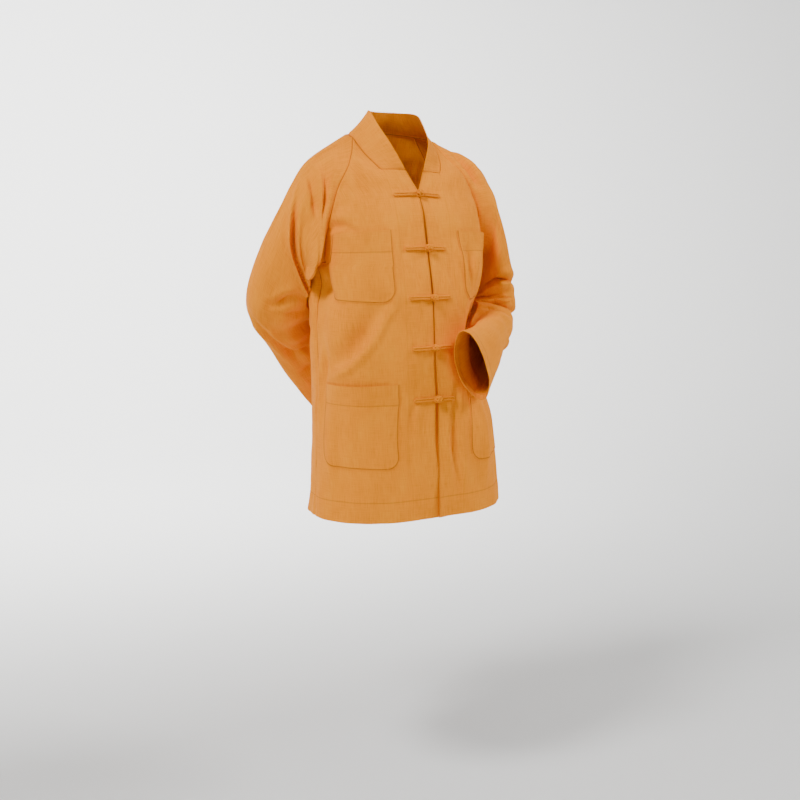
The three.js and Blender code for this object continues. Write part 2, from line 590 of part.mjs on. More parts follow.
const fronts = { right: frontGrid(-1), left: frontGrid(1) };
const back = backGrid();
const inFront = (r, c) => c > 0 || r < BAND_END;
const cut = [
  patch('front_right', fronts.right, true, { keep: inFront }),
  patch('front_left', fronts.left, false, { keep: inFront }),
  patch('back', back, true),
  patch('sleeve_right', sleeveGrid(-1, SLEEVE_RIGHT, fronts.right, back), true, { wrap: true }),
  patch('sleeve_left', sleeveGrid(1, SLEEVE_LEFT, fronts.left, back), false, { wrap: true }),
  patch('collar', collarGrid(), false),
];
const normals = sharedNormals(cut);
for (const one of cut) add(one.name, wall(one, normals));

// ---- patch pockets ----
// A pocket is a block of a front's cells, lifted off it, with its two lower corners rounded.
function addPocket(name, side, footRow, topRow) {
  const front = fronts[side];
  const [near, far] = [2, 7];
  const block = [];
  const directions = [];
  for (let r = footRow; r <= topRow; r++) {
    block.push(front[r].slice(near, far + 1).map((p) => p.clone()));
    directions.push(front[r].slice(near, far + 1).map((p) => normals.get(keyOf(p))));
  }
  // The middle of a rounded corner lies on whichever facet of the front holds it.
  const inset = 1 - Math.SQRT1_2;
  const last = far - near;
  for (const [c, next] of [[0, 1], [last, last - 1]]) {
    const [corner, beside, above, across] = [block[0][c], block[0][next], block[1][c], block[1][next]];
    const onDiagonal = (c === 0) === (side === 'left');
    const inwards = onDiagonal ? across.clone() : beside.clone().add(above).sub(corner);
    corner.lerp(inwards, inset);
  }
  const lift = CLOTH / 2 + LIFT;
  const pocket = { ...patch(name, block, side === 'right'), normals: directions };
  add(name, wall(pocket, new Map(), lift, lift + CLOTH));
}
for (const side of ['right', 'left']) {
  addPocket(`pocket_chest_${side}`, side, CHEST_POCKET_FOOT, CHEST_POCKET_TOP);
  addPocket(`pocket_hip_${side}`, side, HIP_POCKET_FOOT, HIP_POCKET_TOP);
}

// ---- frog closures ----
const wasm = await Module();
wasm.setup();

function toSolid(geometry) {
  const bare = geometry.clone();
  bare.deleteAttribute('normal');
  bare.deleteAttribute('uv');
  const merged = mergeVertices(bare, 1e-4);
  return new wasm.Manifold(new wasm.Mesh({
    numProp: 3,
    vertProperties: merged.attributes.position.array,
    triVerts: Uint32Array.from(merged.index.array),
  }));
}

function toGeometry(solid) {
  const { vertProperties, triVerts } = solid.getMesh();
  const geometry = new THREE.BufferGeometry();
  geometry.setAttribute('position', new THREE.BufferAttribute(vertProperties, 3));
  geometry.setIndex(new THREE.BufferAttribute(triVerts, 1));
  geometry.computeVertexNormals();
  return geometry;
}

// A closure is modelled flat: x away from the opening, y up the front, z off the cloth.
const cordRound = (length) => new THREE.CylinderGeometry(CORD, CORD, length, 6).rotateZ(Math.PI / 2);
const twoCords = (from, to) => [-1, 1].map((s) =>
  toSolid(cordRound(to - from).translate((from + to) / 2, s * CORD * CORD_SPREAD, CORD)));

function loopSolid() {
  const ring = new THREE.TorusGeometry(LOOP_RADIUS, CORD, 6, 12).translate(0, 0, CORD);
  const place = ring.attributes.position;
  for (let i = 0; i < place.count; i++) {
    place.setZ(i, place.getZ(i) + LOOP_SLOPE * (LOOP_RADIUS + CORD - place.getX(i)));
  }
  return twoCords(LOOP_RADIUS, LOOP_BAR).reduce((all, one) => all.add(one), toSolid(ring));
}

function knotSolid() {
  const stalk = new THREE.CylinderGeometry(CORD, CORD, KNOT_HEIGHT - CORD, 6).rotateX(Math.PI / 2);
  const ball = new THREE.IcosahedronGeometry(KNOT_RADIUS, 1).translate(0, 0, KNOT_HEIGHT);
  const base = toSolid(stalk.translate(0, 0, (KNOT_HEIGHT + CORD) / 2));
  return twoCords(-CORD, KNOT_BAR).reduce((all, one) => all.add(one), base.add(toSolid(ball)));
}

// One placket at a given height: a point on its edge, its directions across and up, and its normal.
function placketAt(side, middle) {
  const front = fronts[side];
  let r = 0;
  while (r < NECKLINE_FOOT - 1 && front[r + 1][0].z <= middle) r++;
  const t = (middle - front[r][0].z) / (front[r + 1][0].z - front[r][0].z);
  const [edge, inside] = [0, 1].map((c) => front[r][c].clone().lerp(front[r + 1][c], t));
  const across = inside.clone().sub(edge).normalize();
  const up = front[r + 1][0].clone().sub(front[r][0]).normalize();
  const off = new THREE.Vector3().crossVectors(across, up).multiplyScalar(side === 'left' ? 1 : -1).normalize();
  return { edge, across, up, off };
}

// Lays a flat solid over both plackets, its x running from the opening onto its own side.
function layOnPlacket(solid, side, middle) {
  const sign = side === 'left' ? 1 : -1;
  const [own, other] = [placketAt(side, middle), placketAt(side === 'left' ? 'right' : 'left', middle)];
  const geometry = toGeometry(solid);
  const place = geometry.attributes.position;
  const off = own.off.clone().add(other.off).normalize();
  const origin = own.edge.clone().lerp(other.edge, 0.5).addScaledVector(off, CLOTH / 2 + 3 * LIFT);
  for (let i = 0; i < place.count; i++) {
    const x = place.getX(i);
    const p = origin.clone().addScaledVector(x > 0 ? own.across : other.across, Math.abs(x))
      .addScaledVector(own.up, place.getY(i)).addScaledVector(off, place.getZ(i));
    const q = settle(p.x, p.y, p.z);
    place.setXYZ(i, q.x, q.y, q.z);
  }
  if (sign < 0) geometry.setIndex([...geometry.index.array].reverse());
  geometry.computeVertexNormals();
  return geometry;
}
FROGS.forEach(({ z }, k) => {
  add(`frog_loop_${k + 1}`, layOnPlacket(loopSolid(), 'right', z), CORD_COLOUR);
  add(`frog_knot_${k + 1}`, layOnPlacket(knotSolid(), 'left', z), CORD_COLOUR);
});

export default jacket;
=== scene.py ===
"""A monk's short jacket: raglan sleeves, a stand-away collar band, patch pockets and knotted frogs.

Every piece of cloth is cut as a grid of points on one form, in millimetres, creased and then
turned into a thin shell with its seams and stitches.
"""
import json
import logging
import math
from collections.abc import Callable
from dataclasses import dataclass, field
from enum import Enum

import bpy
import numpy as np
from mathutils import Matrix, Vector

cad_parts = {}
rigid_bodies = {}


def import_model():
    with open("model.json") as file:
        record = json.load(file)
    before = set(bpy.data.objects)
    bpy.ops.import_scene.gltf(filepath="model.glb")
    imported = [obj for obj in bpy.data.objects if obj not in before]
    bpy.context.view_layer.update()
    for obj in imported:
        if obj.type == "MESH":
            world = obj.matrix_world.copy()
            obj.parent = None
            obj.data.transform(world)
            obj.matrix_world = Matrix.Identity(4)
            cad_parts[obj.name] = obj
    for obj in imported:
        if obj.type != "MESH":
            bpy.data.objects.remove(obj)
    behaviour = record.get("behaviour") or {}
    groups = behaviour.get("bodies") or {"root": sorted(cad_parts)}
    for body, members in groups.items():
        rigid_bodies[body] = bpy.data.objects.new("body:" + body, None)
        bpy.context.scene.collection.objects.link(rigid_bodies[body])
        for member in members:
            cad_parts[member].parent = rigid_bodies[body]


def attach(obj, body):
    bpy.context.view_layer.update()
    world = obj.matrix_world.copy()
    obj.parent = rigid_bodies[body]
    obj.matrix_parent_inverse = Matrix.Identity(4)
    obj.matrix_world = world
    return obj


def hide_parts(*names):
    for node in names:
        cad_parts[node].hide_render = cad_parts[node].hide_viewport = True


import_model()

LOG = logging.getLogger("jacket")
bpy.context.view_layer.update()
MM = 0.001
Array = np.ndarray
Colour = tuple[float, float, float]
# Points and outward directions along each line of sewing.
Lines = list[tuple[Array, Array]]
# Length across, length along and height of each size of wave, in mm.
Waves = tuple[tuple[float, float, float], ...]
# Where a piece has no line of stitching, its distance from one, and one past every piece, in mm.
FAR_FROM_SEWING, FAR = 50.0, 1e3
# How far stitches lie over the face of the cloth in mm.
STITCH_RISE = 0.1
# How far before and past its edge a hem comes down to the single cloth, in mm.
HEM_STEP = (1.5, 0.5)


class Side(Enum):
    """A side of the jacket, as its wearer names it."""

    RIGHT = -1
    LEFT = 1

    @property
    def word(self) -> str:
        """Returns it as the names of pieces say it."""
        return self.name.lower()


class Face(Enum):
    """The front or the back half of the body form."""

    FRONT = -1
    BACK = 1


# ---------------- small sums
def step_lengths(points: Array, axis: int = 0) -> Array:
    """Returns the distances of neighbouring points along one axis, 0 where a point is missing."""
    return np.nan_to_num(np.linalg.norm(np.diff(points, axis=axis), axis=-1))


def walked(steps: Array) -> Array:
    """Adds up steps, starting from 0."""
    return np.concatenate([[0], np.cumsum(steps)])


def unit(vectors: Array) -> Array:
    """Returns vectors one long."""
    return vectors / np.maximum(np.linalg.norm(vectors, axis=-1, keepdims=True), 1e-9)


def bell(at: Array, middle: float, width: float) -> Array:
    """Returns a smooth bump, 1 high in its middle."""
    return np.exp(-(((at - middle) / width) ** 2))


def smooth_step(low: float, high: float, at: Array) -> Array:
    """Rises smoothly from 0 at low to 1 at high."""
    t = np.clip((at - low) / (high - low), 0, 1)
    return t * t * (3 - 2 * t)


def hemmed(depth: float, distance: Array) -> Array:
    """Returns 1 in a hem and 0 past it, at distances from its fold."""
    return 1 - smooth_step(depth - HEM_STEP[0], depth + HEM_STEP[1], distance)


def off_line(x: Array, y: Array, dx: Array, dy: Array) -> tuple[Array, Array]:
    """Returns how far places lie along a line from 0, 0 to dx, dy, as a share, and off it."""
    t = np.clip((x * dx + y * dy) / (dx * dx + dy * dy), 0, 1)
    return t, np.hypot(x - t * dx, y - t * dy)


def read_along(values: Array, length: Array, where: Array | float) -> Array:
    """Reads each column of values at places along a length."""
    return np.stack([np.interp(where, length, column) for column in values.T], -1)


def cubic(t: Array, start: Array, leave: Array, end: Array, arrive: Array) -> Array:
    """Reads the curve between two values that leaves and arrives at given slopes, t of the way."""
    return ((2 * t**3 - 3 * t**2 + 1) * start + (t**3 - 2 * t**2 + t) * leave
            + (3 * t**2 - 2 * t**3) * end + (t**3 - t**2) * arrive)


# ---------------- tables
def numbers(text: str) -> list[list[float]]:
    """Reads lines of numbers."""
    return [[float(word) for word in line.split()] for line in text.strip().splitlines()]


class Table:
    """A short table with named columns, read smoothly along any rising column."""

    def __init__(self, columns: str, rows: str | Array) -> None:
        """Keeps named columns and rows, or lines of text with them, that rise in the first one."""
        self.columns = columns.split()
        self.rows = np.array(numbers(rows) if isinstance(rows, str) else rows)

    def column(self, name: str) -> Array:
        """Returns one column."""
        return self.rows[:, self.columns.index(name)]

    def points(self, name: str) -> Array:
        """Returns the points in three columns, which end in _x, _y and _z."""
        return np.stack([self.column(f"{name}_{axis}") for axis in "xyz"], -1)

    def read(self, name: str, at: float | Array, key: str | None = None) -> Array:
        """Reads a column along a smooth curve through the rows.

        Args:
            name: The column to read.
            at: Where to read it.
            key: The column that `at` is measured on, the first one if none is given.

        Returns:
            The values there.
        """
        keys = self.column(key or self.columns[0])
        values = self.column(name)
        at = np.asarray(at, float)
        last = len(keys) - 1
        i = np.clip(np.searchsorted(keys, at) - 1, 0, last - 1)
        before, after = np.maximum(i - 1, 0), np.minimum(i + 2, last)
        span = keys[i + 1] - keys[i]
        t = np.clip((at - keys[i]) / span, 0, 1)
        m0 = (values[i + 1] - values[before]) / (keys[i + 1] - keys[before]) * span
        m1 = (values[after] - values[i]) / (keys[after] - keys[i]) * span
        return cubic(t, values[i], m0, values[i + 1], m1)


TORSO = Table("z half front back mid_x mid_y", """
-800 206 174 159 8 -29
-650 194 176 147 5 -24
-522 186 175 136 1 -20
-415 185 167 130 -2 -18
-313 186 162 128 -3 -15
-213 187 146 120 -1 -9
-145 183 132 108 0 -5
-99 174 112 95 0 0
-60 158 97 78 0 4
-30 134 62 64 0 7
6 101 30 53 0 11
24 92 28 52 0 12
""")
# Rows of the fronts from the hem up: heights at the opening and at the side or raglan seam, and the
# half width of the raglan seam.
ROWS = Table("row inner outer outer_x", """
0 -767 -772 187
1 -728 -732 187
2 -692 -692 187
3 -660 -660 187
4 -630 -630 187
5 -580 -582 187
6 -530 -536 187
7 -484 -492 187
8 -440 -446 187
9 -400 -402 187
10 -360 -360 187
11 -324 -322 187
12 -294 -292 187
13 -256 -252 187
14 -216 -226 185.5
15 -172 -192 182.5
16 -136 -152 175.5
17 -99 -116 165
18 -78 -90 154
19 -57 -66 140
20 -44 -44 124
21 -26 -26 111
22 -10 -10 102
23 5 5 94
""")
ARMPIT, NECKLINE_FOOT, BAND_END, NECK_POINT = 13, 17, 19, 23
# Stations of the collar where a front's raglan seam, the back's one and the back's middle meet it.
FRONT_HEAD, BACK_HEAD, BACK_MIDDLE = 4, 7, 11
# Rows of each patch pocket's foot and mouth on the front, its width and the front's half girth.
POCKETS = {"chest": (11, 15, 158, 262), "hip": (3, 7, 176, 285)}
# The random field of each piece's first waves, and from one pocket to the next.
SEEDS = {"front_right": 11, "front_left": 23, "back": 37, "sleeve_right": 51, "sleeve_left": 67,
         "collar": 83, "pocket": 100}
SEED_STEP = 10
# The collar from its squared end in front round to the middle of the back.
COLLAR = Table("station seam_x seam_y seam_z edge_x edge_y edge_z", """
0 68 -84 -60 21 -98 -57
1 79 -66 -44 33 -88 -30
2 87 -43 -27 45 -72 0
3 92 -20 -9 55 -42 32
4 94 0 5 56 -14 56
5 93 16 9 52 3 61
6 88 31 12 48 16 62
7 77 44 14 41 26 62
8 60 54 16 32 34 62
9 41 60 17 22 38 62
10 21 63 18 11 41 62
11 0 64 18 0 42 62
""")
BACK_RAGLAN = Table("row z half", """
13 -252 187
14 -228 181
15 -198 177
16 -164 170
17 -130 160
18 -98 147
19 -68 131
20 -42 114
21 -18 98
22 0 86
23 14 77
""")
# Rings along a sleeve: its point furthest from the body, the one opposite and half its depth.
SLEEVE_RIGHT = Table("ring outer_x outer_y outer_z inner_x inner_y inner_z deep", """
1 -190 10 -50 -207 1 -243 73
2 -225 16 -96 -199 22 -270 73
3 -251 30 -152 -168 58 -298 70
4 -274 54 -214 -140 88 -322 68
5 -286 84 -274 -126 110 -342 64
6 -287 114 -334 -124 124 -362 60
7 -264 146 -388 -122 138 -372 58
8 -224 166 -430 -106 152 -384 54
9 -182 184 -478 -78 170 -404 48
10 -140 196 -530 -40 184 -442 42
11 -100 204 -578 4 198 -486 36
12 -74 208 -608 36 206 -514 31
""")
SLEEVE_LEFT = Table("ring outer_x outer_y outer_z inner_x inner_y inner_z deep", """
1 202 2 -46 209 -2 -248 73
2 226 0 -96 208 -8 -267 71
3 243 -2 -152 199 -12 -294 69
4 259 -4 -216 195 -16 -314 66
5 272 -6 -286 193 -22 -330 62
6 270 -2 -350 189 -40 -338 57
7 261 6 -410 186 -62 -344 50
8 236 -34 -446 176 -102 -348 42
9 196 -86 -470 142 -138 -356 36
10 156 -138 -492 104 -180 -366 32
11 114 -190 -512 62 -214 -374 29
12 88 -226 -522 30 -242 -378 28
""")
PARTING = Table("z half shift", """
-800 -1.8 0.5
-710 -1.8 1.4
-692 -1.0 1.0
-676 0.3 0.8
-655 1.5 0.0
-610 2.6 -3
-545 1.9 -1.5
-522 1.1 0
-470 1.1 0
-200 1.1 0
-150 1.1 0
-60 1.0 0
""")
FROGS = Table("height loop_bar knot_bar", """
-520 48 38
-415 50 42
-313 52 39
-213 50 42
-106 57 46
""")


# ---------------- creases
# The valleys on both sides of a crease: depth and place, as shares of its rise and half width.
VALLEYS = ((0.35, 1.9), (0.3, -2.1))
# How far a crease's ends fade, as a share of its length.
CREASE_END = 0.02


@dataclass(frozen=True)
class Fold:
    """One crease, drawn as a line on a piece of cloth.

    Attributes:
        width: Half its width in mm.
        rise: Its height in mm, below 0 for a trough.
        line: Its corners, in the piece's own two coordinates.
    """

    width: float
    rise: float
    line: tuple[tuple[float, float], ...]

    def height(self, across: Array, along: Array) -> Array:
        """Works out how far this crease lifts the cloth.

        Args:
            across: First coordinate of each place, in mm.
            along: Second coordinate of each place, in mm.

        Returns:
            The rise at each place, in mm.
        """
        line = np.array(self.line, float)
        steps = np.diff(line, axis=0)
        lengths = np.hypot(*steps.T)
        total, done = lengths.sum(), 0.0
        nearest = np.full(np.shape(across), np.inf)
        signed, share = np.zeros_like(nearest), np.zeros_like(nearest)
        for (x, y), (dx, dy), length in zip(line, steps, lengths):
            px, py = across - x, along - y
            t, off = off_line(px, py, dx, dy)
            closer = off < nearest
            nearest = np.where(closer, off, nearest)
            signed = np.where(closer, np.sign(px * dy - py * dx) * off, signed)
            share = np.where(closer, (done + t * length) / total, share)
            done += length
        fade = np.sqrt(np.sin(np.pi * np.clip(share, CREASE_END, 1 - CREASE_END)))
        q = signed / self.width
        valleys = sum(deep * bell(q, out, 1) for deep, out in VALLEYS)
        return self.rise * fade * (bell(q, 0, 1) - valleys)


def folds(text: str) -> tuple[Fold, ...]:
    """Makes creases from lines of text: half width, rise and the corners of their lines."""
    return tuple(Fold(width, rise, tuple(zip(line[::2], line[1::2])))
                 for width, rise, *line in numbers(text))


def creased(creases: tuple[Fold, ...], across: Array, along: Array) -> Array:
    """Adds up the rise of several creases at places on a piece, in mm."""
    across, along = np.broadcast_arrays(across, along)
    return sum(fold.height(across, along) for fold in creases)


# ---------------- the form
# Broad folds of the body: both ends as the angle from the middle of the front and the height, then
# the half width and the rise.
BODY_FOLDS = (
    (-0.5, -400, -1.1, -480, 34, 5),
    (-0.75, -345, -1.35, -300, 30, -6),
    (0.45, -520, 0.6, -690, 30, 6),
    (0.78, -540, 0.95, -772, 32, -5),
    (1.35, -600, 1.3, -790, 40, 6),
    (-1.5, -560, -1.42, -790, 38, 7),
    (-2.7, -330, -1.9, -380, 36, -7),
    (-2.3, -470, -2.2, -790, 42, -9),
    (2.5, -430, 2.35, -790, 42, -10),
    (2.2, -170, 2.6, -290, 34, -6),
    (-1.5, -258, -1.42, -330, 32, -19),
)


@dataclass(frozen=True)
class Form:
    """The form that all pieces are cut on, in millimetres.

    Attributes:
        power: Squareness of the torso's rings.
        shoulder_drop: Fall of the shoulders for each mm towards the wearer's left.
        drop_change: How that slope changes for each mm down.
        press: Where a forearm presses the front: z, reach, angle, ahead, behind and depth.
        radius: Mean radius of the body, for the sizes of its folds.
        fold_ends: Rise of a broad fold's ends beside that of its middle.
        fine: How many points measure the length of a row.
    """

    power: float = 2.5
    shoulder_drop: float = 0.05
    drop_change: float = 0.0001
    press: tuple[float, ...] = (-415, 94, 0.95, 0.47, 0.65, 46)
    radius: float = 165
    fold_ends: float = 0.45
    fine: int = 121

    def settle(self, points: Array) -> Array:
        """Tilts points as the weight on one leg does."""
        drop = (self.shoulder_drop + self.drop_change * points[..., 2:]) * points[..., :1]
        return points - drop * (0, 0, 1)

    def folded(self, turn: Array, z: Array) -> Array:
        """Adds up the body's broad folds.

        Args:
            turn: Angle from the middle of the front.
            z: Height.

        Returns:
            How far they move the surface.
        """
        moved = np.zeros(np.broadcast(turn, z).shape)
        for t0, z0, t1, z1, width, rise in BODY_FOLDS:
            t, off = off_line((turn - t0) * self.radius, z - z0, (t1 - t0) * self.radius, z1 - z0)
            fade = self.fold_ends + (1 - self.fold_ends) * np.sin(np.pi * t)
            moved = moved + rise * bell(off, 0, width) * fade
        return moved

    def sizes(self, side: Array, face: Face, angle: Array, z: Array) -> tuple[Array, Array]:
        """Returns the half width and the depth of the torso at each place.

        Args:
            side: -1 or 1 for each place.
            face: The half of the form.
            angle: Angle from the middle of that half.
            z: Height.

        Returns:
            Half width and depth.
        """
        z_press, reach, at, ahead, behind, depth = self.press
        turn = angle if face is Face.FRONT else np.pi - angle
        away = (turn - at) / np.where(turn < at, ahead, behind)
        pressed = np.where(side > 0, depth * np.exp(-(away**2) - ((z - z_press) / reach) ** 2), 0)
        moved = self.folded(side * turn, z) - pressed
        return TORSO.read("half", z) + moved, TORSO.read(face.name.lower(), z) + moved

    def torso(self, side: Array, face: Face, angle: Array, z: Array) -> Array:
        """Finds points on the torso, before it settles.

        Args:
            side: -1 or 1.
            face: The half of the form.
            angle: Angle from the middle of that half.
            z: Height.

        Returns:
            The points.
        """
        half, depth = self.sizes(side, face, angle, z)
        reach = np.sign(np.sin(angle)) * abs(np.sin(angle)) ** (2 / self.power)
        rise = np.maximum(np.cos(angle), 0) ** (2 / self.power)
        return np.stack([TORSO.read("mid_x", z) + side * half * reach,
                         TORSO.read("mid_y", z) + face.value * depth * rise, z + 0 * half], -1)

    def angle_at(self, x: float, z: float, side: int) -> float:
        """Returns the angle at which the torso has a given half width."""
        share = float(np.clip((x - side * TORSO.read("mid_x", z)) / TORSO.read("half", z), -1, 1))
        return math.asin(math.copysign(abs(share) ** (self.power / 2), share))

    def row(self, side: int, face: Face, start: tuple[float, float], end: tuple[float, float],
            shares: Array | Callable[[float], Array]) -> Array:
        """Lays a row of points on the torso.

        Args:
            side: -1 or 1.
            face: The half of the form.
            start: Height and angle of the first point.
            end: Height and angle of the last point.
            shares: Shares of the row's length, or a function of that length.

        Returns:
            The points.
        """
        t = np.linspace(0, 1, self.fine)
        at = lambda s: self.torso(side, face, start[1] + (end[1] - start[1]) * s,
                                  start[0] + (end[0] - start[0]) * s)
        length = walked(step_lengths(at(t)))
        wanted = shares(length[-1]) if callable(shares) else shares * length[-1]
        return at(np.interp(wanted, length, t))

    def raglan_half(self, in_front: Array, z: Array) -> Array:
        """Returns the half width of the raglan seam at a height."""
        upper = Table("outer outer_x", ROWS.rows[ARMPIT:, 2:4])
        return np.where(in_front, upper.read("outer_x", z), BACK_RAGLAN.read("half", z, "z"))

    def keep_clear(self, points: Array, clear: float) -> Array:
        """Moves a sleeve's points off the fronts and the back.

        Args:
            points: The points.
            clear: The distance to keep from the torso.

        Returns:
            The moved points.
        """
        x0, y0 = TORSO.read("mid_x", points[..., 2]), TORSO.read("mid_y", points[..., 2])
        x, y, z = points[..., 0] - x0, points[..., 1] - y0, points[..., 2]
        side, front = np.sign(points[..., 0]), y < 0
        base = TORSO.read("half", z)
        deep = np.where(front, TORSO.read("front", z), TORSO.read("back", z))
        angle = np.arctan2((abs(x) / base) ** (self.power / 2), (abs(y) / deep) ** (self.power / 2))
        ahead, behind = (self.sizes(side, face, angle, z) for face in Face)
        half, depth = (np.where(front, a, b) for a, b in zip(ahead, behind))
        size = ((abs(x) / half) ** self.power + (abs(y) / depth) ** self.power) ** (1 / self.power)
        grow = np.maximum((np.hypot(x, y) / size + clear) / np.hypot(x, y), 1)
        seam = self.raglan_half(points[..., 1] < 0, z)
        free = (z > ROWS.read("outer", ARMPIT)) & (abs(points[..., 0]) > seam)
        grow = np.where(free, 1, grow)
        return np.stack([x0 + x * grow, y0 + y * grow, z], -1)


def through(points: Array, at: Array) -> Array:
    """Runs centripetal curves through rows of points.

    Args:
        points: Rows of points, of shape (rows, ..., 3).
        at: Where to read the curves, counted in rows.

    Returns:
        The points there, of shape (len(at), ..., 3).
    """
    rows = np.concatenate([[2 * points[0] - points[1]], points, [2 * points[-1] - points[-2]]])
    gaps = np.maximum(np.linalg.norm(np.diff(rows, axis=0), axis=-1), 1e-6) ** 0.5
    i = np.clip(np.floor(at).astype(int), 0, len(points) - 2)
    shape = (-1,) + (1,) * (points.ndim - 1)
    t = (at - i).reshape(shape)
    p0, p1, p2, p3 = (rows[i + k] for k in range(4))
    g0, g1, g2 = (gaps[i + k][..., None] for k in range(3))
    m1 = ((p1 - p0) / g0 - (p2 - p0) / (g0 + g1) + (p2 - p1) / g1) * g1
    m2 = ((p2 - p1) / g1 - (p3 - p1) / (g1 + g2) + (p3 - p2) / g2) * g1
    return cubic(t, p1, m1, p2, m2)


def neck_curve(line: str, stations: Array, side: int = 1) -> Array:
    """Reads the collar's seam or its free edge, from one band end round to the other.

    Args:
        line: "seam" or "edge".
        stations: Where to read it, from 0 at the left band end to twice BACK_MIDDLE at the right.
        side: 1, or -1 to count from the right band end.

    Returns:
        Points there.
    """
    left = COLLAR.points(line)
    whole = np.concatenate([left, left[:-1][::-1] * (-1, 1, 1)])
    return through(whole, np.asarray(stations, float)) * (side, 1, 1)


def knots(lengths: Array, step: float) -> Array:
    """Splits intervals into even numbers of short steps, and returns the places counted in them."""
    counts = [2 * max(1, round(length / step / 2)) for length in lengths]
    return np.concatenate([*(k + np.arange(n) / n for k, n in enumerate(counts)), [len(lengths)]])


# ---------------- cut pieces
@dataclass
class Sheet:
    """One piece of cloth as a grid of points in millimetres.

    Attributes:
        name: The piece's name, which is that of the CAD node it stands for.
        points: Its grid, of shape (rows, columns, 3). Rows with no cloth hold NaN.
        cut: Its place on the flat cut, in mm across and along, of shape (rows, columns, 2).
        flip: Whether its rows and columns turn the other way round seen from outside.
        wrap: Whether its last column joins its first.
        seam: Distance of each point from the nearest sewn edge, in mm.
        sewn: Up to three signed distances of each point from lines of stitching, in mm.
        thick: Thickness of the cloth in mm.
        flat: Width and length of its flat cut in metres, if its grid does not tell them.
        girth: Distance round a piece that closes on itself, in mm.
    """

    name: str
    points: Array
    cut: Array
    flip: bool
    wrap: bool = False
    seam: Array | None = None
    sewn: tuple[Array, ...] = ()
    thick: float = 0.9
    flat: tuple[float, float] | None = None
    girth: float = 0.0

    def normals(self) -> Array:
        """Works out which way the cloth faces.

        Returns:
            The outward direction at each point.
        """
        p = self.points
        if self.wrap:
            p = np.concatenate([p[:, -1:], p, p[:, :1]], 1)
        down, across = self._slope(p, 0), self._slope(p, 1)
        n = unit(np.cross(down, across) if self.flip else np.cross(across, down))
        return n[:, 1:-1] if self.wrap else n

    @staticmethod
    def _slope(p: Array, axis: int) -> Array:
        """Takes differences along one axis that step over missing and repeated points.

        Args:
            p: The points.
            axis: The axis.

        Returns:
            The difference across each point.
        """
        steps = np.nan_to_num(np.diff(p, axis=axis))
        none = np.zeros_like(np.take(p, [0], axis))
        return np.concatenate([steps, none], axis) + np.concatenate([none, steps], axis)

    def lift(self, amount: Array) -> None:
        """Moves every point out along its normal by a number of mm."""
        self.points = self.points + self.normals() * np.asarray(amount)[..., None]

    def cells(self) -> tuple[Array, Array]:
        """Lists the grid's cells that are cloth.

        Returns:
            Corner rows and corner columns, each of shape (cells, 4).
        """
        rows, columns = self.points.shape[:2]
        across = columns if self.wrap else columns - 1
        r, c = np.indices((rows - 1, across)).reshape(2, -1)
        d = (c + 1) % columns
        corners = np.stack([r, r, r + 1, r + 1], -1), np.stack([c, d, d, c], -1)
        whole = ~np.isnan(self.points[corners[0], corners[1], 0]).any(1)
        corners = tuple(a[whole] for a in corners)
        return corners if not self.flip else tuple(a[:, ::-1] for a in corners)

    def flat_size(self) -> tuple[float, float]:
        """Returns the width and the length of its flat cut in metres."""
        across, along = (float(size) * MM for size in np.ptp(self.cut, axis=(0, 1)))
        return self.flat or (max(across, self.girth * MM), along)

    def area(self) -> float:
        """Returns the area of the cloth in square metres."""
        a, b, d, e = (self.points[r, c] for r, c in zip(*(index.T for index in self.cells())))
        return float(np.linalg.norm(np.cross(d - a, e - b), axis=1).sum() / 2 * MM * MM)

    def build(self, finish: bpy.types.Material) -> bpy.types.Object:
        """Makes the piece's mesh, with its cut as a UV map and its stitching as an attribute.

        Args:
            finish: Its material.

        Returns:
            The object, with no thickness yet.
        """
        rows, columns = self.cells()
        ids = rows * self.points.shape[1] + columns
        used, faces = np.unique(ids, return_inverse=True)
        faces = faces.reshape(ids.shape)
        piece = new_mesh(self.name, self.points.reshape(-1, 3)[used] * MM, faces.tolist(), finish)
        where = self.cut.reshape(-1, 2)[used][faces] * MM
        if self.wrap:
            whole = np.ptp(self.cut[..., 0]) * MM
            where[..., 0] += whole * np.round((where[:, :1, 0] - where[..., 0]) / whole)
        piece.data.uv_layers.new(name="cut").data.foreach_set("uv", where.reshape(-1))
        none = np.full(self.points.shape[:2], FAR_FROM_SEWING)
        lines = [*self.sewn, *[none] * (3 - len(self.sewn))]
        stitched = np.nan_to_num(np.stack(np.broadcast_arrays(*lines), -1), nan=FAR_FROM_SEWING)
        layer = piece.data.attributes.new("sewn", "FLOAT_VECTOR", "POINT")
        layer.data.foreach_set("vector", stitched.reshape(-1, 3)[used].reshape(-1) * MM)
        return piece


def edge_distance(points: Array, row: int | None = None, column: int | None = None) -> Array:
    """Measures along the grid from one of its rows or columns.

    Args:
        points: The grid.
        row: The row to measure from.
        column: Or the column to measure from.

    Returns:
        The distance at each point, in mm.
    """
    axis, start = (0, row) if row is not None else (1, column)
    steps = step_lengths(points, axis)
    zero = np.zeros_like(np.take(steps, [0], axis))
    length = np.concatenate([zero, np.cumsum(steps, axis)], axis)
    return abs(length - np.take(length, [start], axis))


def spread(total: float, step: float, dense: tuple[float, ...] = (0, 1.2, 2.6, 4.4)) -> Array:
    """Spaces columns over a length, close together at both ends.

    Args:
        total: The length.
        step: The usual step.
        dense: Places near each end that have a column.

    Returns:
        Shares of the length, an even number of steps.
    """
    n = 2 * max(1, round((total - 2 * dense[-1]) / step / 2))
    inner = np.linspace(dense[-1], total - dense[-1], n + 1)[1:-1]
    return np.concatenate([dense, inner, total - np.array(dense[::-1])]) / total


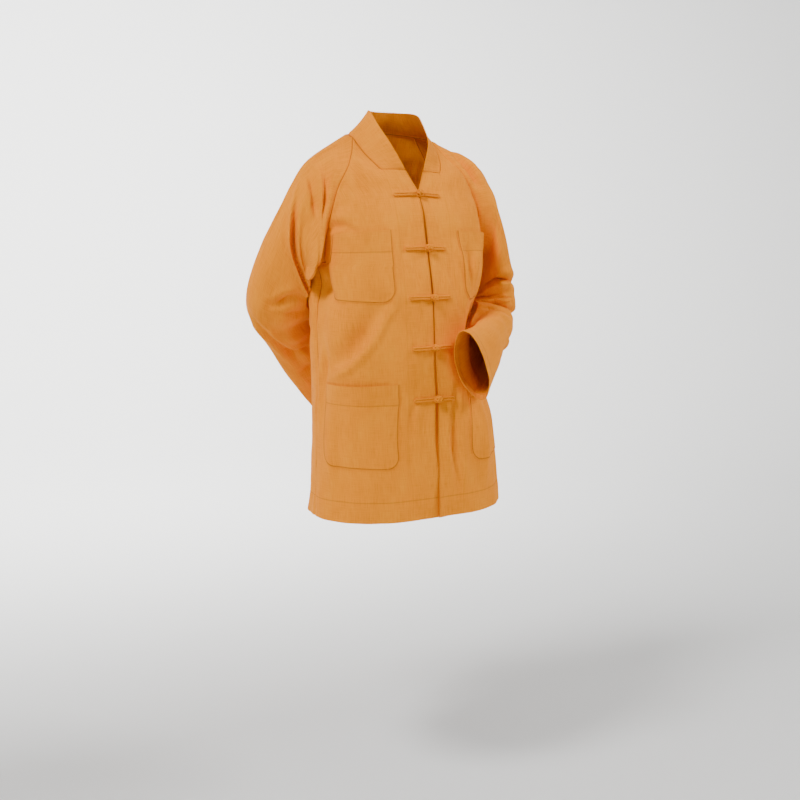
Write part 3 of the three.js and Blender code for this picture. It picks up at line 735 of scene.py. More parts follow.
@dataclass
class Pattern:
    """Cuts the six main pieces on the form. Sizes are in mm.

    Attributes:
        form: The form.
        step: Size of a grid cell.
        placket: Width of the strip beside the opening.
        band: Width of the collar band's squared end.
        back_rise: Rise of the middle of the back over the raglan seam.
        collar_hollow: How far the band dips towards the neck.
        arm_clearance: Distance of a sleeve from the torso above the elbow.
        forearm_clearance: The same below it.
        arm_radius: Radius of a sleeve, for the places of its creases.
        ring_pitch: From one ring of a sleeve to the next, for the same.
        front_width: Usual width of a front beyond that strip, for the spacing of its columns.
        collar_height: The same for the collar band.
        columns: How many columns that strip, half the back and the head of a sleeve have.
        head_turn: The turn at a sleeve's head from its front to its back, counted in rows.
        square_ring: From which ring on a sleeve's rings are square to the arm.
        ring_gap: The least distance between rings, for the spacing between them.
        end_rings: Places of the rings that are added for the seam and for the cuff's edge.
        calm: How far from its seam a sleeve has no full creases.
        settled: How far from its seam it keeps its full clearance.
        elbow: The rings between which its clearance changes.
    """

    form: Form = field(default_factory=Form)
    step: float = 4.6
    placket: float = 62
    band: float = 48
    back_rise: float = 4
    collar_hollow: float = 3
    arm_clearance: float = 6.5
    forearm_clearance: float = 10
    arm_radius: float = 68
    ring_pitch: float = 52
    front_width: float = 224
    collar_height: float = 52
    columns: tuple[int, int, int] = (15, 43, 9)
    head_turn: float = 4
    square_ring: int = 4
    ring_gap: float = 30
    end_rings: tuple[float, ...] = (0.02, 0.06, -0.06, -0.025)
    calm: float = 26
    settled: float = 30
    elbow: tuple[float, float] = (5.5, 6.5)

    def __post_init__(self) -> None:
        """Sets the rows and columns that neighbouring pieces share."""
        self.rows = knots(abs(np.diff(ROWS.column("outer"))), self.step)
        self.main_shares = spread(self.front_width, self.step)
        self.strip_shares, self.back_shares, self.head_shares = (
            np.linspace(0, 1, count) for count in self.columns)
        self.heads = FRONT_HEAD + (BACK_HEAD - FRONT_HEAD) * self.head_shares

    def front(self, side: Side) -> Array:
        """Cuts one front.

        Args:
            side: Its side.

        Returns:
            Its grid. The strip beside the opening ends at the band.
        """
        s = side.value
        strip, main = len(self.strip_shares), len(self.main_shares)
        grid = np.full((len(self.rows), strip + main - 1, 3), np.nan)
        tip = neck_curve("seam", [NECK_POINT - BAND_END], s)[0]
        tip_z, tip_x = (float(ROWS.read(name, NECK_POINT)) for name in ("outer", "outer_x"))
        tip_row = self.form.torso(s, Face.FRONT, self.form.angle_at(tip_x, tip_z, s), tip_z)
        fading = ((1 - self.main_shares) ** 2)[:, None]
        for i, r in enumerate(self.rows):
            z0, z1, x1 = (float(ROWS.read(name, r)) for name in ("inner", "outer", "outer_x"))
            angle = self.form.angle_at(x1, z1, s) if r > ARMPIT else np.pi / 2
            if r > BAND_END:
                seam = neck_curve("seam", [r - BAND_END], s)[0]
                if r >= NECK_POINT:
                    grid[i, strip - 1:] = seam
                    continue
                start = (seam[2], self.form.angle_at(abs(seam[0]), seam[2], s))
                line = self.form.row(s, Face.FRONT, start, (z1, angle), self.main_shares)
                near = max(r - NECK_POINT + 1, 0) * self.main_shares[:, None]
                line += (seam - line[0]) * fading
                grid[i, strip - 1:] = line + near * (tip - tip_row)
                continue
            above = max(r - NECKLINE_FOOT, 0) / (BAND_END - NECKLINE_FOOT)
            half_gap = PARTING.read("half", z0) + s * PARTING.read("shift", z0)
            x = float(half_gap + (COLLAR.read("edge_x", 0) - half_gap) * above)
            width = self.placket + (self.band - self.placket) * above
            shares = lambda total: np.concatenate([
                self.strip_shares * width, width + self.main_shares[1:] * (total - width)])
            start = (z0, self.form.angle_at(x, z0, s))
            line = self.form.row(s, Face.FRONT, start, (z1, angle), shares)
            ease = smooth_step(BAND_END - 1, BAND_END, r)
            if ease > 0:
                edge, seam = (neck_curve(line, [0], s)[0] for line in ("edge", "seam"))
                to_edge, to_seam = edge - line[0], seam - line[strip - 1]
                t = self.strip_shares[:, None]
                line[:strip] += ease * ((1 - t) * to_edge + t * to_seam)
                line[strip:] += ease * to_seam * fading[1:]
            grid[i] = line
        return grid

    def back(self) -> Array:
        """Cuts the back.

        Returns:
            Its grid, from the wearer's right to the left.
        """
        grid = np.empty((len(self.rows), 2 * len(self.back_shares) - 1, 3))
        stations = np.concatenate([-self.back_shares[::-1], self.back_shares[1:]])
        top = neck_curve("seam", BACK_MIDDLE - (BACK_MIDDLE - BACK_HEAD) * stations)
        for i, r in enumerate(self.rows):
            upper = r > ARMPIT
            z = float(BACK_RAGLAN.read("z", r) if upper else ROWS.read("outer", r))
            x = float(BACK_RAGLAN.read("half", r))
            rise = self.back_rise * max(r - ARMPIT, 0) / (NECK_POINT - ARMPIT)
            right, left = (self.form.row(
                side.value, Face.BACK, (z + rise, 0.0),
                (z, self.form.angle_at(x, z, side.value) if upper else np.pi / 2),
                self.back_shares) for side in Side)
            grid[i] = np.concatenate([right[::-1], left[1:]])
        near = np.clip(self.rows - (NECK_POINT - 1), 0, 1)[:, None, None]
        return grid + near * (top - grid[-1])

    def armhole(self, side: Side, front: Array, back: Array) -> Array:
        """Follows the edges that a sleeve is sewn to: down in front, then up at the back.

        Args:
            side: The sleeve's side.
            front: The front.
            back: The back.

        Returns:
            Points of those edges.
        """
        upper = np.flatnonzero(self.rows >= ARMPIT)
        edge = -1 if side is Side.LEFT else 0
        return np.concatenate([front[upper[::-1], -1], back[upper[1:], edge]])

    def sleeve(self, side: Side, front: Array, back: Array) -> Array:
        """Cuts one sleeve, with its creases.

        Args:
            side: Its side.
            front: The front that it is sewn to.
            back: The back that it is sewn to.

        Returns:
            Its grid, from the raglan seam to the cuff.
        """
        s = side.value
        table = SLEEVE_LEFT if side is Side.LEFT else SLEEVE_RIGHT
        upper = np.flatnonzero(self.rows >= ARMPIT)
        heads = neck_curve("seam", self.heads[1:-1][::-1], s)
        seam = np.concatenate([self.armhole(side, front, back), heads])
        deep_rows = NECK_POINT - ARMPIT
        order = np.concatenate([NECK_POINT - self.rows[upper[::-1]],
                                self.rows[upper[1:]] - ARMPIT + deep_rows,
                                2 * deep_rows + self.head_turn * self.head_shares[1:-1]])
        outer, inner = table.points("outer"), table.points("inner")
        middles, deep, rings = (outer + inner) / 2, table.column("deep"), len(table.rows)
        even = (order + self.head_turn / 2) / (2 * deep_rows + self.head_turn) * 2 * np.pi
        loops, turns = [seam], even
        for k in range(rings):
            up = outer[k] - middles[k]
            along = middles[min(k + 1, rings - 1)] - middles[max(k - 1, 0)]
            square = unit(np.cross(along, up) * s)
            ahead = self._level(np.array([0.0, -1.0, 0.0]), up)
            share = min(k / self.square_ring, 1)
            ahead = self._level(ahead + (square - ahead) * share, up) * deep[k]
            if k == 0:
                arm = seam - middles[0]
                turns = np.arctan2(arm @ ahead / deep[0] ** 2, arm @ up / (up @ up))
                turns += 2 * np.pi * np.round((even - turns) / (2 * np.pi))
            loops.append(middles[k] + np.cos(turns)[:, None] * up + np.sin(turns)[:, None] * ahead)
        lengths = step_lengths(np.stack(loops)[:, ::8]).mean(1)
        stations = knots(np.maximum(lengths, self.ring_gap), self.step)
        stations = np.sort(np.concatenate([stations, np.mod(self.end_rings, rings)]))
        grid = through(np.stack(loops), stations)
        mid = grid.mean(1, keepdims=True)
        out = unit(grid - mid)
        turn = np.mod(turns, 2 * np.pi)
        along = walked(step_lengths(mid[:, 0]))
        rise = creased(FOLDS[f"sleeve_{side.word}"], turn[None] * self.arm_radius,
                       stations[:, None] * self.ring_pitch)
        grid = grid + out * (rise * smooth_step(0, self.calm, along)[:, None])[..., None]
        more = self.forearm_clearance - self.arm_clearance
        clear = self.arm_clearance + more * smooth_step(*self.elbow, stations)
        moved = self.form.keep_clear(grid, (clear * smooth_step(0, self.settled, along))[:, None])
        moved[0] = seam
        return moved

    @staticmethod
    def _level(direction: Array, up: Array) -> Array:
        """Returns a direction squared to another, one long."""
        return unit(direction - up * (direction @ up) / (up @ up))

    def collar(self) -> Array:
        """Cuts the collar band, from its seam up to its free edge.

        Returns:
            Its grid, with a column wherever one of the other pieces has one.
        """
        front = self.rows[self.rows >= BAND_END] - BAND_END
        back = BACK_HEAD + (BACK_MIDDLE - BACK_HEAD) * self.back_shares
        left = np.concatenate([front, self.heads[1:], back[1:]])
        stations = np.concatenate([left, 2 * BACK_MIDDLE - left[:-1][::-1]])
        low, high = neck_curve("seam", stations), neck_curve("edge", stations)
        t = spread(self.collar_height, self.step)[:, None, None]
        to_end = np.minimum(stations, 2 * BACK_MIDDLE - stations)
        ends = np.minimum(1, to_end / FRONT_HEAD)[None, :, None]
        inward = unit((low + high) * (-0.5, -0.5, 0))
        return low + (high - low) * t + inward * self.collar_hollow * ends * np.sin(np.pi * t)


def traced(sheet: Sheet, distance: Array, level: float, across_rows: bool = True) -> Lines:
    """Finds the line on a piece's face where a distance has one value.

    Args:
        sheet: The piece.
        distance: The distance at its points, rising or falling along every searched line.
        level: The value.
        across_rows: Whether columns are searched, which gives a line that crosses them.

    Returns:
        The line, in a list of one.
    """
    normals = sheet.normals()
    face = sheet.points + normals * (sheet.thick / 2 + STITCH_RISE)
    if not across_rows:
        distance, face, normals = distance.T, face.swapaxes(0, 1), normals.swapaxes(0, 1)
    found = []
    for k, values in enumerate(distance.T):
        good = np.flatnonzero(~np.isnan(face[:, k, 0]) & ~np.isnan(values))
        if not len(good) or not values[good].min() <= level <= values[good].max():
            continue
        good = good[np.argsort(values[good])]
        found.append([read_along(grid[good, k], values[good], level) for grid in (face, normals)])
    if sheet.wrap:
        found.append(found[0])
    points, out = np.array(found).swapaxes(0, 1)
    return [(points, out)]


# ---------------- small uneven waves
@dataclass(frozen=True)
class Crinkle:
    """Small uneven waves all over a piece.

    Attributes:
        across: Length of a wave across the piece in mm.
        along: Length of a wave along it in mm.
        rise: Height in mm.
        seed: Which random field it is.
        cells: After how many waves the field repeats.
        slant: How far the waves lean, in waves across for each one along.
    """

    across: float
    along: float
    rise: float
    seed: int
    cells: int = 64
    slant: float = 0.37

    def height(self, u: Array, v: Array) -> Array:
        """Reads the waves.

        Args:
            u: Places across, in mm.
            v: Places along, in mm.

        Returns:
            The rise there, in mm.
        """
        values = np.random.default_rng(self.seed).normal(size=(self.cells, self.cells))
        x, y = u / self.across + self.slant * v / self.along, v / self.along
        i, j = np.floor(x).astype(int), np.floor(y).astype(int)
        fx, fy = x - i, y - j
        total = np.zeros(np.shape(x))
        for a in range(-1, 3):
            for b in range(-1, 3):
                weight = self._spline(fx - a) * self._spline(fy - b)
                total += weight * values[(i + a) % self.cells, (j + b) % self.cells]
        return self.rise * total

    @staticmethod
    def _spline(t: Array) -> Array:
        """Returns the smooth bump that joins the field's values."""
        t = abs(t)
        return np.where(t < 1, 2 / 3 - t * t + t**3 / 2, np.clip(2 - t, 0, None) ** 3 / 6)


def crinkled(waves: Waves, seed: int, u: Array, v: Array) -> Array:
    """Adds up waves of several sizes, each from the random field after the last one's, in mm."""
    return sum(Crinkle(*wave, seed + k).height(u, v) for k, wave in enumerate(waves))


def select_only(chosen: bpy.types.Object) -> None:
    """Selects one object and nothing else, and makes it active.

    Args:
        chosen: The object.
    """
    for other in bpy.context.view_layer.objects:
        other.select_set(other is chosen)
    bpy.context.view_layer.objects.active = chosen


def new_mesh(name: str, points: Array, faces: list, finish: bpy.types.Material) -> bpy.types.Object:
    """Makes an object from points in metres and faces.

    Args:
        name: The object's name.
        points: Its points, of shape (points, 3).
        faces: The corners of each face.
        finish: Its material.

    Returns:
        The object.
    """
    mesh = bpy.data.meshes.new(name)
    mesh.from_pydata(points.tolist(), [], faces)
    mesh.materials.append(finish)
    made = bpy.data.objects.new(name, mesh)
    bpy.context.scene.collection.objects.link(made)
    return made


def smooth(piece: bpy.types.Object, degrees: float = 50) -> None:
    """Shades a piece smooth, apart from edges sharper than an angle."""
    select_only(piece)
    bpy.ops.object.shade_smooth_by_angle(angle=math.radians(degrees))


# ---------------- shader maths
class Wire:
    """One value or colour in a material's nodes, on which sums can be written."""

    def __init__(self, paint: "Paint", socket: bpy.types.NodeSocket) -> None:
        """Keeps the socket and the material that it belongs to."""
        self.paint, self.socket = paint, socket

    def _math(self, operation: str, *values: object) -> "Wire":
        """Adds one Math node."""
        return self.paint.node("ShaderNodeMath", {"operation": operation}, dict(enumerate(values)))

    def __add__(self, other: object) -> "Wire":
        """Returns the sum."""
        return self._math("ADD", self, other)

    def __sub__(self, other: object) -> "Wire":
        """Returns the difference."""
        return self._math("SUBTRACT", self, other)

    def __rsub__(self, other: object) -> "Wire":
        """Returns the difference, the other way round."""
        return self._math("SUBTRACT", other, self)

    def __mul__(self, other: object) -> "Wire":
        """Returns the product."""
        return self._math("MULTIPLY", self, other)

    def __abs__(self) -> "Wire":
        """Returns the value without its sign."""
        return self._math("ABSOLUTE", self)

    __radd__, __rmul__ = __add__, __mul__

    def most(self, other: object) -> "Wire":
        """Returns the larger of two values."""
        return self._math("MAXIMUM", self, other)

    def between(self, low: float, high: float) -> "Wire":
        """Returns 0 below low, 1 above high and a smooth ramp between them."""
        return self.paint.node("ShaderNodeMapRange", {"interpolation_type": "SMOOTHSTEP"},
                               {"Value": self, "From Min": low, "From Max": high})

    def wave(self) -> "Wire":
        """Returns its sine."""
        return self._math("SINE", self)


class Paint:
    """A material and its nodes."""

    def __init__(self, name: str) -> None:
        """Starts an empty material with a surface shader.

        Args:
            name: Its name.
        """
        self.material = bpy.data.materials.new(name)
        self.material.use_nodes = True
        self.tree = self.material.node_tree
        self.tree.nodes.clear()
        self.surface = self.tree.nodes.new("ShaderNodeBsdfPrincipled")
        out = self.tree.nodes.new("ShaderNodeOutputMaterial")
        self.tree.links.new(self.surface.outputs[0], out.inputs["Surface"])

    def node(self, kind: str, settings: dict[str, object] | None = None,
             inputs: dict[object, object] | None = None, output: int | str = 0) -> Wire:
        """Adds a node.

        Args:
            kind: The node's type.
            settings: Its settings, set before its sockets. "stops" are a ramp's places and colours.
            inputs: Values or links of its sockets, by name or number.
            output: Which output is wanted.

        Returns:
            That output.
        """
        made = self.tree.nodes.new(kind)
        for name, value in (settings or {}).items():
            if name == "stops":
                self._stops(made.color_ramp, value)
            else:
                setattr(made, name, value)
        for name, value in (inputs or {}).items():
            self._feed(made.inputs[name], value)
        return Wire(self, made.outputs[output])

    @staticmethod
    def _stops(ramp: bpy.types.ColorRamp, stops: tuple[tuple[float, Colour], ...]) -> None:
        """Sets a ramp's stops.

        Args:
            ramp: The ramp.
            stops: Place and colour of each.
        """
        while len(ramp.elements) < len(stops):
            ramp.elements.new(1)
        for element, (place, colour) in zip(ramp.elements, stops):
            element.position, element.color = place, (*colour, 1)

    def _feed(self, socket: bpy.types.NodeSocket, value: object) -> None:
        """Links a socket, or sets its value.

        Args:
            socket: The socket.
            value: A wire, or a plain value.
        """
        if isinstance(value, Wire):
            self.tree.links.new(value.socket, socket)
        else:
            socket.default_value = value

    def set(self, **values: object) -> None:
        """Sets sockets of the surface shader, with _ for a space in their names."""
        for name, value in values.items():
            self._feed(self.surface.inputs[name.replace("_", " ")], value)

    def noise(self, place: Wire, stretch: tuple[float, float, float], detail: float = 2) -> Wire:
        """Makes soft noise, 0.5 on average.

        Args:
            place: Where to read it.
            stretch: Waves for each metre along each axis.
            detail: How many finer octaves it holds.

        Returns:
            The noise.
        """
        scaled = self.node("ShaderNodeMapping", {}, {"Vector": place, "Scale": stretch})
        feed = {"Vector": scaled, "Scale": 1.0, "Detail": detail}
        return self.node("ShaderNodeTexNoise", {}, feed)

    def mix(self, share: Wire, first: object, second: object) -> Wire:
        """Mixes two colours, with a share of the second."""
        return self.node("ShaderNodeMix", {"data_type": "RGBA"}, {0: share, 6: first, 7: second}, 2)

    def ramp(self, at: Wire, *stops: tuple[float, Colour]) -> Wire:
        """Returns the colour that a ramp has at a value."""
        return self.node("ShaderNodeValToRGB", {"stops": stops}, {0: at})

    def split(self, place: Wire) -> list[Wire]:
        """Returns the three parts of a vector."""
        parts = self.node("ShaderNodeSeparateXYZ", {}, {0: place}).socket.node
        return [Wire(self, part) for part in parts.outputs]

    def bump(self, height: Wire, distance: float, strength: float) -> Wire:
        """Returns a normal that follows a height, whose 1 is a distance in metres."""
        feed = {"Height": height, "Distance": distance, "Strength": strength}
        return self.node("ShaderNodeBump", {}, feed)


@dataclass(frozen=True)
class SlubbedCloth:
    """A matt plain weave of uneven ochre yarns.

    Attributes:
        name: The material's name.
        base: Its colour.
        deep: Its colour where the yarns are darker.
        pale: Its colour where they are paler.
        shadow: Its painted shade colour in the groove of a line of stitching, and along the front's
            opening.
        shade: How much of that painted shade shows there.
        line: Distances from such a line at which the groove begins and ends, in metres.
        depths: Depths of the grooves, and strengths of their painted shade, at sewn edges, at hems
            and at facings.
        yarn: Width of a yarn in metres.
        crinkle: Height of its fine lengthwise crinkles beside that of its yarns.
        sheen: Strength of its nap.
    """

    name: str = "slubbed_ochre_cloth"
    base: Colour = (0.88, 0.265, 0.002)
    deep: Colour = (0.70, 0.190, 0.001)
    pale: Colour = (0.95, 0.345, 0.010)
    shadow: Colour = (0.34, 0.07, 0.0)
    shade: float = 0.62
    line: tuple[float, float] = (0.0003, 0.0019)
    depths: tuple[float, float, float] = (1.0, 0.45, 0.16)
    yarn: float = 0.0009
    crinkle: float = 3.0
    sheen: float = 0.02

    def material(self) -> bpy.types.Material:
        """Makes the material.

        Returns:
            The material. It reads the UV map "cut" and the attribute "sewn".
        """
        p = Paint(self.name)
        place = p.node("ShaderNodeUVMap", {"uv_map": "cut"})
        groove = self._stitching(p)
        slubs, picks, patches = (
            p.noise(place, stretch, 3) for stretch in ((620, 34, 1), (30, 560, 1), (14, 9, 1)))
        tone = slubs * 0.5 + picks * 0.32 + patches * 0.34
        colour = p.ramp(tone, (0.36, self.deep), (0.57, self.base), (0.80, self.pale))
        # Painted shade: the cloth darkens towards the shadow colour in the grooves of stitching and
        # along the opening.
        colour = p.mix(groove * self.shade, colour, (*self.shadow, 1))
        crinkles = p.noise(place, (95, 10, 1))
        yarns = self._weave(p, place)
        height = yarns * 0.35 + slubs * 0.7 + picks * 0.45 + crinkles * self.crinkle - groove * 0.8
        p.set(Base_Color=colour, Roughness=0.86 + patches * 0.08, Sheen_Weight=self.sheen,
              Sheen_Roughness=0.5, Specular_IOR_Level=0.08, Normal=p.bump(height, 0.00045, 0.9))
        return p.material

    def _stitching(self, p: Paint) -> Wire:
        """Reads the grooves that lines of stitching make, which set both the relief and the painted
        shade.

        Args:
            p: The material's nodes.

        Returns:
            Their depth, from 0 to 1.
        """
        sewn = p.node("ShaderNodeAttribute", {"attribute_name": "sewn"}, output="Vector")
        grooves = [(1 - abs(part).between(*self.line)) * depth
                   for part, depth in zip(p.split(sewn), self.depths)]
        return grooves[0].most(grooves[1]).most(grooves[2])

    def _weave(self, p: Paint, place: Wire) -> Wire:
        """Returns the height of yarns that go over and under each other."""
        u, v = (part * (math.pi / self.yarn) for part in p.split(place)[:2])
        return (u.wave() * v.wave()) * 0.5 + 0.5


@dataclass(frozen=True)
class RolledCord:
    """Cord rolled from bias strips of the same cloth."""

    name: str = "rolled_ochre_cord"
    base: Colour = (0.88, 0.275, 0.002)
    deep: Colour = (0.60, 0.165, 0.001)

    def material(self) -> bpy.types.Material:
        """Makes the material.

        Returns:
            The material, which reads the cord's UV map.
        """
        p = Paint(self.name)
        place = p.node("ShaderNodeUVMap", {"uv_map": "cut"})
        u, v, _ = p.split(place)
        bias = ((u + v) * 3600).wave() * ((u - v) * 3600).wave() * 0.5 + 0.5
        yarns = p.noise(place, (420, 420, 1), 3)
        tone = bias * 0.35 + yarns * 0.75
        colour = p.ramp(tone, (0.25, self.deep), (0.7, self.base))
        p.set(Base_Color=colour, Roughness=0.88, Sheen_Weight=0.02, Sheen_Roughness=0.5,
              Specular_IOR_Level=0.08, Normal=p.bump(tone, 0.00035, 0.9))
        return p.material


@dataclass(frozen=True)
class SewingThread:
    """Matt sewing thread, dyed close to the cloth."""

    name: str = "ochre_sewing_thread"
    pale: Colour = (0.80, 0.20, 0.003)
    deep: Colour = (0.45, 0.10, 0.001)

    def material(self) -> bpy.types.Material:
        """Makes the material.

        Returns:
            The material, with its twist in Object coordinates.
        """
        p = Paint(self.name)
        place = p.node("ShaderNodeTexCoord", output="Object")
        twist = p.noise(place, (1500, 1500, 2600))
        colour = p.ramp(twist, (0.35, self.deep), (0.65, self.pale))
        p.set(Base_Color=colour, Roughness=0.7, Specular_IOR_Level=0.3,
              Normal=p.bump(twist, 0.0002, 0.6))
        return p.material


@dataclass(frozen=True)
class StudioPaper:
    """The pale, seamless paper behind and under the jacket."""

    name: str = "studio_paper"
    colour: Colour = (0.86, 0.86, 0.85)

    def material(self) -> bpy.types.Material:
        """Makes the material.

        Returns:
            The material.
        """
        p = Paint(self.name)
        place = p.node("ShaderNodeTexCoord", output="Object")
        grain = p.noise(place, (3, 3, 3))
        colour = p.mix(grain * 0.1, (*self.colour, 1), (*(0.97 * c for c in self.colour), 1))
        p.set(Base_Color=colour, Roughness=0.95, Specular_IOR_Level=0.1)
        return p.material


# ---------------- sub-assemblies
class Wardrobe:
    """The materials of the jacket, made once."""

    def __init__(self) -> None:
        """Makes the materials."""
        self.cloth, self.cord, self.thread = (
            finish().material() for finish in (SlubbedCloth, RolledCord, SewingThread))


@dataclass
class Needle:
    """Sews runs of small straight stitches. Sizes are in mm.

    Attributes:
        wardrobe: Where the thread comes from.
        form: The form, which settles finished points.
        length: Length of a stitch.
        pitch: From one stitch to the next.
        radius: Radius of the thread.
        blunt: Shape of its ends, from 1 for round to 0 for square.
    """

    wardrobe: Wardrobe
    form: Form
    length: float = 2.5
    pitch: float = 3.5
    radius: float = 0.34
    blunt: float = 0.6

    def __post_init__(self) -> None:
        """Models one stitch, which all others are copies of."""
        bpy.ops.object.select_all(action="DESELECT")
        bpy.ops.mesh.primitive_uv_sphere_add(segments=6, ring_count=4, radius=1,
                                             rotation=(0, math.pi / 2, 0))
        ball = bpy.context.object
        bpy.ops.object.transform_apply(location=False, rotation=True, scale=True)
        points = np.array([v.co for v in ball.data.vertices])
        points[:, 0] = np.sign(points[:, 0]) * abs(points[:, 0]) ** self.blunt
        self.shape = points * (self.length / 2, self.radius, self.radius)
        self.faces = [tuple(f.vertices) for f in ball.data.polygons]
        bpy.data.objects.remove(ball)

    def run(self, name: str, lines: Lines) -> bpy.types.Object:
        """Sews along lines.

        Args:
            name: The name of the finished piece of sewing.
            lines: The lines, in mm, on the cloth's face.

        Returns:
            The stitches as one object.
        """
        points: list[Array] = []
        for line, out in lines:
            length = walked(step_lengths(line))
            count = int(length[-1] / self.pitch)
            at = (np.arange(count) + 0.5) * length[-1] / count
            middle, normal = read_along(line, length, at), read_along(out, length, at)
            start, end = (read_along(line, length, at + k * self.length / 2) for k in (-1, 1))
            ahead = unit(end - start)
            beside = unit(np.cross(normal, ahead))
            up = np.cross(ahead, beside)
            for m, a, b, n in zip(middle, ahead, beside, up):
                points.append(m + self.shape @ np.stack([a, b, n]))
        size = len(self.shape)
        faces = [tuple(i + first for i in face)
                 for first in range(0, size * len(points), size) for face in self.faces]
        settled = self.form.settle(np.concatenate(points)) * MM
        sewing = new_mesh(name, settled, faces, self.wardrobe.thread)
        smooth(sewing, 80)
        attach(sewing, "root")
        return sewing


@dataclass
class Panels:
    """The six main pieces of cloth: two fronts, the back, two sleeves and the collar band.

    Sizes are in mm.

    Attributes:
        pattern: Cuts them.
        wardrobe: Their finishes.
        thick: Thickness of the cloth.
        hem: Depth of the hem.
        cuff_hem: Depth of the hem of a cuff.
        seam_dip: How far a seam sinks into the cloth.
        seam_width: Half the width of that dip.
        turnings: Middle and half width of the ridge beside it.
        hem_rise: How much a hem or a seam's turnings thicken the cloth.
        hem_groove: How far the stitching of a hem sinks.
        groove_width: Half the width of that groove.
        gather: Height of the gathers beside a seam.
        hem_gather: Height of the gathers along a hem's stitching.
        gather_pitch: Length of one gather.
        gathered: How far from a seam they are highest, and half their reach.
        waves: The uneven waves that the whole cloth has.
        collar_waves: How high they are on the collar, beside the rest.
        collar_held: How far from the collar's edges they are held flat.
        facing_inset: From the edge of a front's facing to its stitching.
        collar_stitching: How far the collar's seam and free edge are sewn from them.
        edge_stitching: How far from the opening a front is sewn.
        double: Distance between the two lines of stitching at the collar's ends.
        pull_reach: How far from its seam a sleeve's head is pulled to close it.
        whole_columns: How many columns from the side seam on have cloth in every row.
        held: How far from a seam the cloth's creases are held flat.
    """

    pattern: Pattern
    wardrobe: Wardrobe
    thick: float = 0.9
    hem: float = 42
    cuff_hem: float = 26
    seam_dip: float = 1.5
    seam_width: float = 2.2
    turnings: tuple[float, float] = (6.5, 3.6)
    hem_rise: float = 0.55
    hem_groove: float = 0.7
    groove_width: float = 2.4
    gather: float = 0.5
    hem_gather: float = 0.34
    gather_pitch: float = 9
    gathered: tuple[float, float] = (6, 6)
    waves: Waves = ((62, 95, 4.0), (26, 70, 2.2), (13, 60, 1.0), (7, 20, 0.22))
    collar_waves: float = 0.6
    collar_held: float = 10
    facing_inset: float = 1.5
    collar_stitching: tuple[float, float] = (2.6, 3.2)
    edge_stitching: float = 3.2
    double: float = 5
    pull_reach: float = 6
    whole_columns: int = 30
    held: float = 9

    def cut(self) -> dict[str, Sheet]:
        """Cuts, creases and joins the six pieces.

        Returns:
            The pieces by name.
        """
        p = self.pattern
        grids = {f"front_{side.word}": p.front(side) for side in Side} | {"back": p.back()}
        sheets = {name: self._body_piece(name, grid) for name, grid in grids.items()}
        for side in Side:
            name, front = f"sleeve_{side.word}", f"front_{side.word}"
            grid = p.sleeve(side, grids[front], grids["back"])
            sheets[name] = self._sleeve_piece(name, grid, side)
            edge = p.armhole(side, sheets[front].points, sheets["back"].points)
            self._close_armhole(sheets[name], edge)
        sheets["collar"] = self._collar_piece(p.collar())
        return sheets

    def _body_piece(self, name: str, grid: Array) -> Sheet:
        """Lays out one front or the back, with its creases.

        Args:
            name: Its name.
            grid: Its points on the form.

        Returns:
            The piece.
        """
        u, outer = edge_distance(grid, column=0), edge_distance(grid, column=-1)
        rows = walked(np.median(step_lengths(grid)[:, -self.whole_columns:], axis=1))
        v = np.repeat(rows[:, None], grid.shape[1], 1)
        hem_line = edge_distance(grid, row=0) - self.hem
        if name == "back":
            seam = np.minimum.reduce([u, outer, edge_distance(grid, row=-1)])
            sewn = (seam, hem_line)
            u = u - u[:, [grid.shape[1] // 2]]
        else:
            past_band = (np.isnan(grid[:, 0, 0]) & ~np.isnan(grid[:, -1, 0]))[:, None]
            seam = np.minimum(outer, np.where(past_band, u, FAR))
            strip = grid[:, :len(self.pattern.strip_shares)]
            facing = step_lengths(strip, 1).sum(1, keepdims=True) - self.facing_inset
            # The opening's edge counts as a sewn edge here, so the cloth beside the parting gets
            # painted shade.
            edges = np.minimum(seam, u)
            u = u + self.pattern.band * past_band
            sewn = (edges, hem_line, u - np.where(facing > 0, facing, -FAR))
        sheet = Sheet(name, grid, np.stack([u, v], -1), name != "front_left", seam=seam,
                      sewn=sewn, thick=self.thick)
        creases = creased(FOLDS[name], u, np.nan_to_num(grid[..., 2]))
        return self._dressed(sheet, v, self.hem, v, creases)

    def _dressed(self, sheet: Sheet, from_edge: Array, depth: float, along: Array,
                 creases: Array | float = 0) -> Sheet:
        """Gives a piece its creases, its hem, its sunk seams and the gathers beside them.

        Args:
            sheet: The piece.
            from_edge: Distance from its free edge in mm.
            depth: Depth of its hem in mm.
            along: Place along its seams in mm.
            creases: Rise of its creases in mm.

        Returns:
            The piece.
        """
        seed, (u, v) = SEEDS[sheet.name], np.moveaxis(sheet.cut, -1, 0)
        rise = (creases + crinkled(self.waves, seed, u, v)) * smooth_step(0, self.held, sheet.seam)
        rise = rise + self.hem_rise * hemmed(depth, from_edge)
        rise = rise - self.hem_groove * bell(from_edge, depth, self.groove_width)
        gathers = Crinkle(self.gather_pitch, FAR, self.hem_gather, seed + 9).height(u, 0 * u)
        rise = rise + gathers * bell(from_edge, depth, self.gather_pitch)
        gathers = Crinkle(FAR, self.gather_pitch, self.gather, seed + 13).height(0 * u, along)
        rise = rise + gathers * bell(sheet.seam, *self.gathered)
        sheet.lift(rise - self._dip(sheet.seam))
        return sheet

